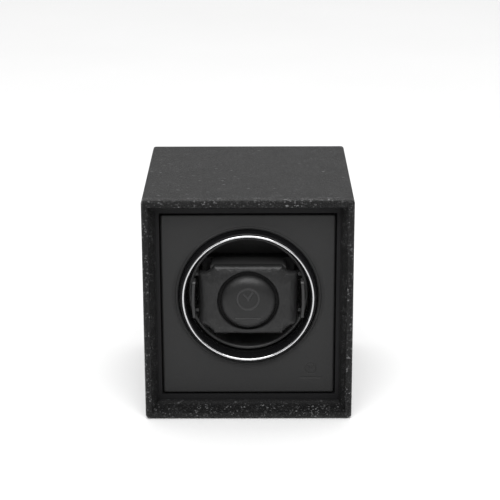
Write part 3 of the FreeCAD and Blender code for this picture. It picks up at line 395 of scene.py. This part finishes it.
def cushion_leather_finish(look, emblem_mm):
    """Soft leatherette for the cushion and its boss, with a plain clock pressed into the boss and painted
    shade in the well round the boss.
    """
    finish = Finish("soft_cushion_leather")
    at = finish.place()
    drift = finish.noise(at, 0.9, 2.0, output="Color")
    grain = finish.cells(at + drift * 0.6, MM / look.cushion_grain, "DISTANCE_TO_EDGE").fade(0.0, 0.4)
    creases = finish.noise(finish.stretch(at + drift * 1.2, 1.0, 0.6, 0.28), 0.95, 3.0, 0.6)
    fine = finish.noise(at, 5.0, 3.0)
    x = at.axis(0)
    z = at.axis(2) - AXIS_Z / MM
    on_boss = 1 - (x * x + z * z).fade((BOSS_HIGH.x / MM - 3.0) ** 2, (BOSS_HIGH.x / MM - 2.0) ** 2)
    bar = (1 - abs(z + 10.2).fade(0.35, 0.65)) * (1 - abs(x).fade(7.6, 8.2))
    emblem = clock_mark(finish, x, z - 2.4, emblem_mm).highest(bar) * on_boss
    height = grain * 0.22 + creases * 0.9 + fine * 0.10 - emblem * 7.0
    tone = finish.mix(grain, shade(look.cushion_colour, 0.78), shade(look.cushion_colour, 1.08))
    tone = finish.mix(creases * 0.35, tone, shade(look.cushion_colour, 1.5))
    tone = finish.mix(emblem * 0.5, tone, shade(look.cushion_colour, 3.0))
    spread = (x * x + z * z) ** 0.5
    # Painted shade: the well's wall and floor behind the cushion's front get a much darker colour, standing
    # for the shade in the groove round the boss.
    painted_groove_shade = (at.axis(1) - PAD_LOW.y / MM).fade(0.6, 2.2) * (1 - spread.fade(WELL_MM, WELL_MM + 0.5))
    tone = finish.mix(painted_groove_shade, tone, shade(look.cushion_colour, 0.08))
    roughness = 0.25 + (1 - grain) * 0.08 + creases * 0.12 - emblem * 0.05 + painted_groove_shade * 0.4
    return finish.done(
        Base_Color=tone,
        Roughness=roughness,
        Normal=finish.bump(height, 0.06),
        Specular_IOR_Level=0.26,
    )


def moulded_finish(name, colour, roughness, texture_mm=0.16, depth_mm=0.012, specular=0.5):
    """Black moulded plastic: an eroded tool texture, with handling marks that change its gloss."""
    finish = Finish(name)
    at = finish.place()
    eroded = finish.cells(at, 1 / texture_mm).fade(0.1, 0.8)
    fine = finish.noise(at, 9.0, 3.0)
    handled = finish.noise(at, 0.12, 3.0, 0.6)
    flow = finish.noise(finish.stretch(at, 0.25, 1.0, 0.25), 0.4, 2.0)
    rubs = finish.noise(finish.stretch(at, 3.0, 0.4, 0.4), 0.9, 4.0, 0.7).fade(0.60, 0.78)
    tone = finish.mix(handled * 0.5, colour, shade(colour, 1.5))
    tone = finish.mix(rubs * 0.25, tone, shade(colour, 2.4))
    gloss = roughness + handled * 0.10 - flow * 0.06 + rubs * 0.08
    height = eroded * 0.7 + fine * 0.3
    return finish.done(
        Base_Color=tone,
        Roughness=gloss,
        Normal=finish.bump(height, depth_mm),
        Specular_IOR_Level=specular,
    )


def gloss_finish(look):
    """Polished black, with a faint orange peel and hairline wiping marks."""
    finish = Finish("polished_black")
    at = finish.place()
    peel = finish.noise(at, 0.55, 2.0)
    hairs = finish.noise(finish.stretch(at, 4.0, 1.0, 0.25), 3.0, 2.0).fade(0.58, 0.72)
    dust = finish.cells(at, 0.8).fade(0.0, 0.06)
    tone = finish.mix(1 - dust, look.gloss_colour, shade(look.gloss_colour, 3.0))
    roughness = 0.24 + hairs * 0.06 + peel * 0.05
    return finish.done(
        Base_Color=tone, Roughness=roughness, Normal=finish.bump(peel, 0.012), Specular_IOR_Level=0.12
    )


def chrome_finish(look):
    """Bright plating, slightly hazy in places."""
    finish = Finish("bright_chrome")
    at = finish.place()
    haze = finish.noise(at, 0.10, 3.0)
    fine = finish.noise(at, 2.0, 2.0)
    tone = finish.mix(haze * 0.5, look.chrome_colour, shade(look.chrome_colour, 0.86))
    roughness = 0.05 + haze * 0.08 + fine * 0.02
    return finish.done(Base_Color=tone, Metallic=1.0, Roughness=roughness, Normal=finish.bump(fine, 0.002))


def steel_finish(look):
    """Zinc plating over turned and pressed steel, with faint tool marks along the shafts."""
    finish = Finish("zinc_plated_steel")
    at = finish.place()
    turned = finish.noise(finish.stretch(at, 0.2, 6.0, 0.2), 1.6, 3.0)
    cloudy = finish.noise(at, 0.35, 3.0)
    grime = finish.noise(at, 0.9, 4.0, 0.65).fade(0.56, 0.74)
    tone = finish.mix(cloudy * 0.6, look.steel_colour, shade(look.steel_colour, 0.78))
    tone = finish.mix(grime * 0.45, tone, shade(look.steel_colour, 0.42))
    roughness = 0.24 + cloudy * 0.12 + grime * 0.14
    return finish.done(Base_Color=tone, Metallic=1.0, Roughness=roughness, Normal=finish.bump(turned, 0.006))


def bronze_finish(look):
    """Sintered bronze with open pores that hold oil."""
    finish = Finish("sintered_bronze")
    at = finish.place()
    pores = 1 - finish.cells(at, 3.2).fade(0.10, 0.26)
    oil = finish.noise(at, 0.5, 3.0).fade(0.40, 0.68)
    tone = finish.mix(oil * 0.6, look.bronze_colour, shade(look.bronze_colour, 0.55))
    tone = finish.mix(pores * 0.8, tone, shade(look.bronze_colour, 0.18))
    roughness = 0.46 - oil * 0.14 + pores * 0.2
    relief = finish.bump(1 - pores, 0.03)
    return finish.done(Base_Color=tone, Metallic=0.9, Roughness=roughness, Normal=relief)


def rubber_finish(name, colour, roughness=0.68):
    """Matt rubber with a little bloom on its surface."""
    finish = Finish(name)
    at = finish.place()
    bloom = finish.noise(at, 0.6, 3.0).fade(0.45, 0.75)
    fine = finish.noise(at, 7.0, 3.0)
    tone = finish.mix(bloom * 0.4, colour, shade(colour, 2.2))
    return finish.done(Base_Color=tone, Roughness=roughness + bloom * 0.1, Normal=finish.bump(fine, 0.01))


def wire_finish():
    """Two wires of a pair: red on the right of the middle and black on the left."""
    finish = Finish("wire_jackets")
    at = finish.place()
    right = at.axis(0).fade(-0.1, 0.1)
    print_marks = finish.noise(finish.stretch(at, 0.2, 0.2, 1.0), 0.5, 2.0).fade(0.6, 0.7)
    tone = finish.mix(right, (0.012, 0.012, 0.013), (0.42, 0.025, 0.02))
    tone = finish.mix(print_marks * 0.12, tone, (0.6, 0.6, 0.6))
    sag = finish.noise(at, 1.6, 2.0)
    return finish.done(Base_Color=tone, Roughness=0.34 + sag * 0.14, Normal=finish.bump(sag, 0.02))


def fibreboard_finish():
    """Machined fibreboard with short pale and dark fibres."""
    finish = Finish("machined_fibreboard")
    at = finish.place()
    fibres = finish.noise(finish.stretch(at, 0.5, 2.4, 2.4), 1.1, 4.0, 0.7)
    specks = 1 - finish.cells(at, 1.3).fade(0.05, 0.2)
    broad = finish.noise(at, 0.05, 2.0)
    tone = finish.mix(fibres, (0.30, 0.205, 0.12), (0.47, 0.35, 0.225))
    tone = finish.mix(specks * 0.6, tone, (0.16, 0.10, 0.055))
    tone = finish.mix(broad * 0.3, tone, (0.38, 0.27, 0.17))
    return finish.done(Base_Color=tone, Roughness=0.8 - fibres * 0.12, Normal=finish.bump(fibres, 0.05))


def board_finish():
    """Green solder mask over copper tracks, with tinned pads and a white printed border."""
    finish = Finish("solder_mask")
    at = finish.place()
    x = at.axis(0)
    z = at.axis(2)
    lane = finish.noise(finish.stretch(at, 0.1, 1.0, 0.02), 1.0, 0.0)
    tracks = abs((z * 1.4 + lane * 6.0).wave()).fade(0.30, 0.42)
    pads = 1 - finish.cells(at, 0.30, randomness=0.25).fade(0.17, 0.2)
    border = abs(x - (BOARD_LOW.x + BOARD_HIGH.x) / 2 / MM).fade(37.6, 37.8)
    tone = finish.mix(tracks, (0.018, 0.17, 0.06), (0.008, 0.085, 0.03))
    tone = finish.mix(pads, tone, (0.62, 0.60, 0.55))
    tone = finish.mix(border, tone, (0.75, 0.75, 0.72))
    height = (1 - tracks) * 0.5 + pads * 0.6
    return finish.done(
        Base_Color=tone, Metallic=pads * 0.9, Roughness=0.32 + tracks * 0.06, Normal=finish.bump(height, 0.03)
    )


def print_finish():
    """White pad print, thin in places."""
    finish = Finish("white_print")
    at = finish.place()
    thin = finish.noise(at, 2.4, 3.0)
    tone = finish.mix(thin * 0.35, (0.78, 0.78, 0.76), (0.42, 0.42, 0.42))
    return finish.done(Base_Color=tone, Roughness=0.55 + thin * 0.1, Normal=finish.bump(thin, 0.01))


def felt_finish():
    """Pressed black felt with loose fibres."""
    finish = Finish("pressed_felt")
    at = finish.place()
    fibres = finish.noise(at + finish.noise(at, 1.2, 2.0, output="Color") * 2.0, 3.4, 5.0, 0.7)
    lint = finish.noise(at, 1.1, 3.0).fade(0.58, 0.74)
    tone = finish.mix(fibres, (0.010, 0.010, 0.011), (0.050, 0.050, 0.052))
    tone = finish.mix(lint * 0.2, tone, (0.14, 0.14, 0.14))
    return finish.done(
        Base_Color=tone, Roughness=0.9 + fibres * 0.08, Normal=finish.bump(fibres, 0.12), Sheen_Weight=0.2
    )


# ---------------------------------------------------------------- meshes
def paint(material, *names):
    """Gives CAD nodes a material in their own material slots."""
    for name in names:
        slots = NODES[name].data.materials
        slots.clear()
        slots.append(material)


def ringed_mesh(name, rings, material):
    """A closed smooth surface through rings with the same number of points, capped at both ends."""
    mesh = bmesh.new()
    loops = [[mesh.verts.new(point) for point in ring] for ring in rings]
    for before, after in zip(loops, loops[1:]):
        for i, vertex in enumerate(before):
            j = (i + 1) % len(before)
            mesh.faces.new((vertex, before[j], after[j], after[i]))
    for loop, way in ((loops[0], -1), (loops[-1], 1)):
        centre = mesh.verts.new(sum((vertex.co for vertex in loop), Vector()) / len(loop))
        for i, vertex in enumerate(loop):
            pair = (vertex, loop[(i + 1) % len(loop)])
            mesh.faces.new((centre, *pair[::way]))
    bmesh.ops.recalc_face_normals(mesh, faces=mesh.faces)
    for face in mesh.faces:
        face.smooth = True
    data = bpy.data.meshes.new(name)
    mesh.to_mesh(data)
    mesh.free()
    data.materials.append(material)
    made = bpy.data.objects.new(name, data)
    bpy.context.scene.collection.objects.link(made)
    return made


def arc(centre, radius, start, end, steps):
    """Points along an arc, angles in degrees."""
    turns = np.radians(np.linspace(start, end, steps))
    return np.stack([centre[0] + radius * np.cos(turns), centre[1] + radius * np.sin(turns)], axis=1)


def quarter_outline(cushion):
    """The cushion's outline from the middle of its right side to the middle of its top, in metres."""
    wing_x = PAD_HIGH.x
    top_z = PAD_HIGH.z - AXIS_Z
    tip = 2.0 * MM
    turn = 1.6 * MM
    neck = cushion.neck_half
    wing = cushion.wing_half
    side = np.linspace((wing_x, 0.0), (wing_x, wing - tip), 22, endpoint=False)
    corner = arc((wing_x - tip, wing - tip), tip, 0, 90, 9)
    start = np.array((wing_x - tip, wing))
    end = np.array((neck, top_z - turn))
    bow = np.array((neck + 2.4 * MM, wing + 0.6 * MM))
    shares = np.linspace(0, 1, 15)[1:-1, None]
    hollow = (1 - shares) ** 2 * start + 2 * shares * (1 - shares) * bow + shares**2 * end
    top_corner = arc((neck - turn, top_z - turn), turn, 0, 90, 7)
    top = np.linspace((neck - turn, top_z), (0.0, top_z), 26)[1:]
    return np.concatenate([side, corner, hollow, top_corner, top])


def cushion_outline(cushion):
    """The whole outline as (x, z) points about the drum's axis."""
    quarter = quarter_outline(cushion)
    half = np.concatenate([quarter, quarter[-2::-1] * (-1, 1)])
    return np.concatenate([half, half[-2:0:-1] * (1, -1)])


def nearest_gap(points, outline):
    """Distance from each point to a closed outline."""
    start = outline
    run = np.roll(outline, -1, axis=0) - start
    away = points[:, None, :] - start[None]
    share = np.clip((away * run).sum(2) / (run**2).sum(1), 0, 1)
    return np.sqrt(((away - share[..., None] * run) ** 2).sum(2)).min(1)


def rolled_edge(gap, radius):
    """How far a surface drops back near an edge that is rounded to this radius."""
    inside = np.clip(radius - gap, 0, radius)
    return radius - np.sqrt(radius**2 - inside**2)


def soft_step(share):
    share = np.clip(share, 0, 1)
    return share * share * (3 - 2 * share)


def crumple(points, seed, scale, stretch):
    """Smooth noise from -1 to 1 at each point, stretched along x and z."""
    spots = [Vector((x * stretch[0], z * stretch[1], seed)) * scale for x, z in points]
    return np.array([noise.fractal(spot, 0.7, 2.2, 3) for spot in spots])


def cushion_depth(points, outline, cushion, seed):
    """How far behind the cushion's foremost plane each point of its face lies."""
    x = np.abs(points[:, 0])
    spread = np.hypot(points[:, 0], points[:, 1])
    edge_gap = nearest_gap(points, outline)
    well_gap = spread - cushion.well_radius
    side = np.clip(x - 0.64 * PAD_HIGH.x, 0, None)
    sweep = 3.2 * MM * (side / (0.36 * PAD_HIGH.x)) ** 2.4
    crown_reach = 9 * MM
    crown = 2.6 * MM * np.clip(1 - edge_gap / crown_reach, 0, 1) ** 2
    drop = rolled_edge(edge_gap, cushion.edge_radius) + rolled_edge(well_gap, WELL_EDGE)
    past_neck = x - cushion.neck_half
    past_wing = np.abs(points[:, 1]) - cushion.wing_half
    hollow = np.hypot(past_neck - 2.6 * MM, past_wing - 1.2 * MM)
    angle = np.arctan2(past_wing, past_neck)
    folds = np.sin(angle * 9 + 1.3) * np.exp(-hollow / (3.2 * MM)) * 1.5
    broad = crumple(points, seed, 190.0, (1.6, 0.7))
    fine = crumple(points, seed + 5, 520.0, (1.7, 0.5))
    creases = broad * 0.9 + fine * 0.35
    calm = soft_step(edge_gap / (1.2 * MM)) * soft_step(well_gap / (1.0 * MM))
    return sweep + crown + drop + (creases * calm + folds) * cushion.crease


def cushion_mesh(cushion, seed, material):
    """A crowned plus-shaped cover with a round well, turned over a rounded edge and tucked in behind."""
    outline = cushion_outline(cushion)
    front = PAD_LOW.y
    back = PAD_HIGH.y
    reach = np.hypot(outline[:, 0], outline[:, 1])
    well = outline * (cushion.well_radius / reach)[:, None]
    rings = []
    floor_y = BOSS_HIGH.y - 0.1 * MM
    for share in (0.35, 0.7, 0.93, 0.99):
        rings.append(np.insert(well * share, 1, floor_y, axis=1))
    for share in (0.25, 0.5, 0.75):
        y = floor_y + (front + WELL_EDGE - floor_y) * share
        rings.append(np.insert(well, 1, y, axis=1))
    steps = 40
    for step in range(steps + 1):
        share = 0.5 - 0.5 * math.cos(math.pi * step / steps)
        points = well + (outline - well) * share
        y = front + cushion_depth(points, outline, cushion, seed)
        rings.append(np.insert(points, 1, y, axis=1))
    rim_y = rings[-1][:, 1]
    for share in (0.12, 0.25, 0.4, 0.55, 0.7, 0.82, 0.9, 1.0):
        pull = 0.35 * MM * math.sin(math.pi * share) + 0.5 * MM * soft_step((share - 0.82) / 0.18)
        points = outline * (1 - pull / reach)[:, None]
        rings.append(np.insert(points, 1, rim_y + (back - rim_y) * share, axis=1))
    for share in (0.9, 0.6, 0.3):
        rings.append(np.insert(outline * share, 1, back, axis=1))
    return ringed_mesh("cushion_cover", [lift(ring) for ring in rings], material)


def lift(ring):
    return [Vector((x, y, z + AXIS_Z)) for x, y, z in ring]


def boss_mesh(seed, material):
    """A round padded boss, flat in the middle and rolled over at its edge."""
    radius = BOSS_HIGH.x - BOSS_GAP
    front = BOSS_LOW.y
    back = BOSS_HIGH.y
    roll_in = 8.5 * MM
    roll_back = 5.0 * MM
    count = 220
    turns = np.linspace(0, 2 * math.pi, count, endpoint=False)
    circle = np.stack([np.cos(turns), np.sin(turns)], axis=1)
    rings = []
    for share in np.sin(np.linspace(0.02, math.pi / 2, 52)):
        points = circle * radius * share - (0.0, BOSS_DROP)
        spread = radius * share
        over = max(0.0, spread - radius + roll_in) / roll_in
        drop = roll_back * (1 - math.sqrt(max(0.0, 1 - over**2.2)))
        crown = 0.9 * MM * share**2
        pucker = np.sin(turns * 23 + 2.2 * np.sin(turns * 3)) * 0.05 * MM * soft_step((share - 0.86) / 0.14)
        creases = crumple(points, seed + 11, 260.0, (1.0, 1.0)) * 0.06 * MM
        y = front + drop + crown + pucker + creases
        rings.append(np.insert(points, 1, y, axis=1))
    edge_y = rings[-1][:, 1]
    for share in (0.35, 0.7, 1.0):
        points = circle * radius * (1 - 0.02 * share) - (0.0, BOSS_DROP)
        rings.append(np.insert(points, 1, edge_y + (back - edge_y) * share, axis=1))
    return ringed_mesh("boss_cover", [lift(ring) for ring in rings], material)


def spring_mesh(material):
    """The cushion's coil spring: round wire along a helix about the drum's axis."""
    coil = SPRING_HIGH.x - SPRING_WIRE
    start = SPRING_LOW.y + SPRING_WIRE
    length = SPRING_HIGH.y - SPRING_LOW.y - 2 * SPRING_WIRE
    slope = length / (2 * math.pi * SPRING_TURNS * coil)
    steps = SPRING_TURNS * 30
    round_wire = [2 * math.pi * i / 10 for i in range(10)]
    rings = []
    for step in range(steps + 1):
        share = step / steps
        turn = 2 * math.pi * SPRING_TURNS * share
        out = Vector((math.cos(turn), 0.0, -math.sin(turn)))
        along = Vector((-math.sin(turn), slope, -math.cos(turn))).normalized()
        side = out.cross(along)
        centre = Vector((0.0, start + length * share, AXIS_Z)) + out * coil
        rings.append([centre + (out * math.cos(a) + side * math.sin(a)) * SPRING_WIRE for a in round_wire])
    return ringed_mesh("spring_coil", rings, material)


# ---------------------------------------------------------------- operators
class PieceOperator(Operator):
    """Shared base of the operators that finish a piece."""

    bl_options = {"REGISTER", "UNDO"}

    def execute(self, context):
        self.build(context.scene.winder)
        return {"FINISHED"}


class WINDER_OT_case_leather(PieceOperator):
    """Pebbled leather round the case"""

    bl_idname = "winder.case_leather"
    bl_label = "Case leather"

    def build(self, winder):
        paint(case_leather_finish(winder.leather), "case_leather")


class WINDER_OT_front_panel(PieceOperator):
    """Fine leather on the front panel, and the black frame round it"""

    bl_idname = "winder.front_panel"
    bl_label = "Front panel"

    def build(self, winder):
        paint(panel_leather_finish(winder.leather), "panel_leather")
        black = moulded_finish("surround_black", winder.moulding.gloss_colour, 0.6, specular=0.2)
        paint(black, "panel_surround")


class WINDER_OT_boards(PieceOperator):
    """Fibreboard of the case, the panel and the bulkhead"""

    bl_idname = "winder.boards"
    bl_label = "Boards"

    def build(self, winder):
        boards = ("top_board", "bottom_board", "left_board", "right_board", "front_panel")
        paint(fibreboard_finish(), *boards, "bulkhead", "bulkhead_battens", "corner_blocks")


class WINDER_OT_window(PieceOperator):
    """Polished bezel and chrome ring of the window"""

    bl_idname = "winder.window"
    bl_label = "Window"

    def build(self, winder):
        paint(gloss_finish(winder.moulding), "window_bezel")
        paint(chrome_finish(winder.metal), "chrome_trim_ring")


class WINDER_OT_drum(PieceOperator):
    """Drum, hub and pulleys"""

    bl_idname = "winder.drum"
    bl_label = "Drum and pulleys"

    def build(self, winder):
        satin = winder.moulding.satin_colour
        paint(moulded_finish("drum_black", satin, 0.42), "drum_cup", "drum_hub")
        pulleys = moulded_finish("pulley_black", winder.moulding.cover_colour, 0.5)
        paint(pulleys, "drum_pulley", "motor_pulley")
        paint(rubber_finish("belt_rubber", (0.014, 0.014, 0.014)), "drive_belt")


class WINDER_OT_cushion(PieceOperator):
    """Leather-covered cushion of the watch holder"""

    bl_idname = "winder.cushion"
    bl_label = "Cushion"

    def build(self, winder):
        leather = cushion_leather_finish(winder.leather, winder.cushion.emblem / MM)
        cover = cushion_mesh(winder.cushion, winder.seed, leather)
        boss = boss_mesh(winder.seed, leather)
        for piece, node in ((cover, "front_pad"), (boss, "boss_pad")):
            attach(piece, "cushion")
            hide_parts(node)


class WINDER_OT_holder(PieceOperator):
    """Moulded shell, body and base of the watch holder"""

    bl_idname = "winder.holder"
    bl_label = "Holder"

    def build(self, winder):
        # Painted shade: the holder gets the satin black darkened to 0.4, standing for the shade it sits in
        # deep inside the drum.
        black = moulded_finish("holder_black_painted_shade", shade(winder.moulding.satin_colour, 0.4), 0.46)
        paint(black, "front_shell", "holder_body", "holder_base")


class WINDER_OT_release_tabs(PieceOperator):
    """Polished release tabs each side of the cushion"""

    bl_idname = "winder.release_tabs"
    bl_label = "Release tabs"

    def build(self, winder):
        colour = shade(winder.moulding.satin_colour, 0.45)
        finish = moulded_finish("tab_black", colour, 0.26, depth_mm=0.004, specular=0.3)
        paint(finish, "left_release_tab", "right_release_tab")


class WINDER_OT_steel_parts(PieceOperator):
    """Screws, shafts, clips, pins, spring and motor steel"""

    bl_idname = "winder.steel_parts"
    bl_label = "Steel parts"

    def build(self, winder):
        screws = ("m2_screws", "m3_screws", "bulkhead_screws", "hub_screws", "drum_pulley_screw")
        shafts = ("drum_shaft", "motor_shaft", "guide_posts", "tab_pins", "jack_pin")
        rings = ("switch_nuts", "shaft_washers", "shaft_circlip", "post_clips")
        motor = ("motor_bracket", "gearbox_case", "motor_can", "motor_terminals")
        steel = steel_finish(winder.metal)
        paint(steel, *screws, *shafts, *rings, *motor)
        paint(bronze_finish(winder.metal), "shaft_bushes")

        coil = spring_mesh(steel)
        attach(coil, "cushion")
        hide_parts("squeeze_spring")
        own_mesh(coil)


class WINDER_OT_rear_cover(PieceOperator):
    """Textured rear cover and its sunk control tray"""

    bl_idname = "winder.rear_cover"
    bl_label = "Rear cover"

    def build(self, winder):
        colour = winder.moulding.cover_colour
        cover = moulded_finish("cover_black", colour, 0.5, texture_mm=0.55, depth_mm=0.05)
        paint(cover, "rear_cover")
        tray = moulded_finish("tray_black", shade(colour, 0.8), 0.46, texture_mm=0.3, depth_mm=0.02)
        paint(tray, "control_tray")


class WINDER_OT_controls(PieceOperator):
    """Knobs, rocker switch, power inlet and their printed marks"""

    bl_idname = "winder.controls"
    bl_label = "Controls"

    def build(self, winder):
        colour = winder.moulding.cover_colour
        knobs = moulded_finish("knob_black", shade(colour, 1.2), 0.38, depth_mm=0.008)
        paint(knobs, "turns_knob", "direction_knob")
        frames = moulded_finish("switch_black", colour, 0.44)
        paint(frames, "rocker_housing", "dc_jack", "rotary_switches", "motor_end_cap", "motor_socket")
        paint(moulded_finish("rocker_black", colour, 0.26, depth_mm=0.004), "power_rocker")
        paint(print_finish(), "dial_marks")


class WINDER_OT_electronics(PieceOperator):
    """Circuit board, its chip and the motor's wires"""

    bl_idname = "winder.electronics"
    bl_label = "Electronics"

    def build(self, winder):
        paint(board_finish(), "circuit_board")
        paint(moulded_finish("chip_black", winder.moulding.cover_colour, 0.55), "control_chip")
        paint(wire_finish(), "motor_wires")


class WINDER_OT_foot_pads(PieceOperator):
    """Felt pads under the case"""

    bl_idname = "winder.foot_pads"
    bl_label = "Foot pads"

    def build(self, winder):
        paint(felt_finish(), "foot_pads")


def floor_finish():
    """Pale polished table that holds a faint reflection."""
    finish = Finish("pale_floor")
    at = finish.place()
    cloudy = finish.noise(at, 0.004, 2.0)
    tone = finish.mix(cloudy, (0.82, 0.82, 0.82), (0.86, 0.86, 0.86))
    return finish.done(Base_Color=tone, Roughness=0.13 + cloudy * 0.02, Specular_IOR_Level=1.0)


def aim_matrix(stage):
    """The camera's place: it looks down at the front face, from a little to one side."""
    aim = Vector((stage.aim_right, CASE_LOW.y, stage.aim_height))
    forward = Vector(
        (
            math.sin(stage.yaw) * math.cos(stage.pitch),
            math.cos(stage.yaw) * math.cos(stage.pitch),
            -math.sin(stage.pitch),
        )
    )
    right = Vector((math.cos(stage.yaw), -math.sin(stage.yaw), 0.0))
    up = right.cross(forward)
    turned_right = right * math.cos(stage.roll) - up * math.sin(stage.roll)
    turned_up = right * math.sin(stage.roll) + up * math.cos(stage.roll)
    matrix = Matrix((turned_right, turned_up, -forward)).transposed().to_4x4()
    matrix.translation = aim - forward * stage.distance
    return matrix


def softbox(name, place, target, width, height, power):
    light = bpy.data.lights.new(name, "AREA")
    light.shape = "RECTANGLE"
    light.size = width
    light.size_y = height
    light.energy = power
    lamp = bpy.data.objects.new(name, light)
    lamp.location = place
    lamp.rotation_mode = "QUATERNION"
    lamp.rotation_quaternion = (Vector(target) - Vector(place)).to_track_quat("-Z", "Y")
    bpy.context.scene.collection.objects.link(lamp)


class WINDER_OT_stage(PieceOperator):
    """Pale floor, softboxes, even sky and camera"""

    bl_idname = "winder.stage"
    bl_label = "Stage"

    def build(self, winder):
        stage = winder.stage
        half = stage.floor_half
        data = bpy.data.meshes.new("floor")
        corners = [(-half, -half, 0), (half, -half, 0), (half, half, 0), (-half, half, 0)]
        data.from_pydata(corners, [], [(0, 1, 2, 3)])
        data.materials.append(floor_finish())
        floor = bpy.data.objects.new("floor", data)
        bpy.context.scene.collection.objects.link(floor)

        target = (0.0, 0.0, AXIS_Z)
        softbox("ceiling", (0.0, 0.6, 3.0), (0.0, 0.6, 0.0), 9.0, 9.0, stage.ceiling_light)
        softbox("backdrop", (0.0, 4.4, 1.6), (0.0, 0.0, 1.6), 8.0, 3.0, stage.backdrop_light)
        softbox("front_softbox", (0.0, -0.95, 1.2), target, 1.3, 0.9, stage.front_light)

        bpy.context.scene.view_settings.view_transform = "Standard"
        world = bpy.data.worlds.new("studio")
        world.use_nodes = True
        sky = world.node_tree.nodes["Background"]
        sky.inputs["Color"].default_value = (1.0, 1.0, 1.0, 1.0)
        sky.inputs["Strength"].default_value = stage.world_light
        bpy.context.scene.world = world

        camera = bpy.data.cameras.new("studio_camera")
        camera.lens = stage.lens
        camera.sensor_width = 36.0
        camera.clip_start = 0.01
        camera.clip_end = 100.0
        viewer = bpy.data.objects.new("studio_camera", camera)
        viewer.matrix_world = aim_matrix(stage)
        bpy.context.scene.collection.objects.link(viewer)
        bpy.context.scene.camera = viewer


OPERATORS = (
    WINDER_OT_case_leather,
    WINDER_OT_front_panel,
    WINDER_OT_boards,
    WINDER_OT_window,
    WINDER_OT_drum,
    WINDER_OT_cushion,
    WINDER_OT_holder,
    WINDER_OT_release_tabs,
    WINDER_OT_steel_parts,
    WINDER_OT_rear_cover,
    WINDER_OT_controls,
    WINDER_OT_electronics,
    WINDER_OT_foot_pads,
    WINDER_OT_stage,
)


class WINDER_PT_pieces(Panel):
    """Lists the pieces of the winder box"""

    bl_idname = "WINDER_PT_pieces"
    bl_label = "Watch winder box"
    bl_space_type = "VIEW_3D"
    bl_region_type = "UI"
    bl_category = "Winder"

    def draw(self, context):
        column = self.layout.column(align=True)
        for operator in OPERATORS:
            column.operator(operator.bl_idname)


SETTINGS = (LeatherSettings, CushionSettings, MetalSettings, MouldingSettings, StageSettings, WinderSettings)
CLASSES = SETTINGS + OPERATORS + (WINDER_PT_pieces,)


def register():
    for item in CLASSES:
        bpy.utils.register_class(item)
    bpy.types.Scene.winder = PointerProperty(type=WinderSettings)


def unregister():
    del bpy.types.Scene.winder
    for item in reversed(CLASSES):
        bpy.utils.unregister_class(item)


def main():
    """Builds every piece in order."""
    register()
    for operator in OPERATORS:
        group, name = operator.bl_idname.split(".")
        getattr(getattr(bpy.ops, group), name)()


if __name__ == "__main__":
    main()
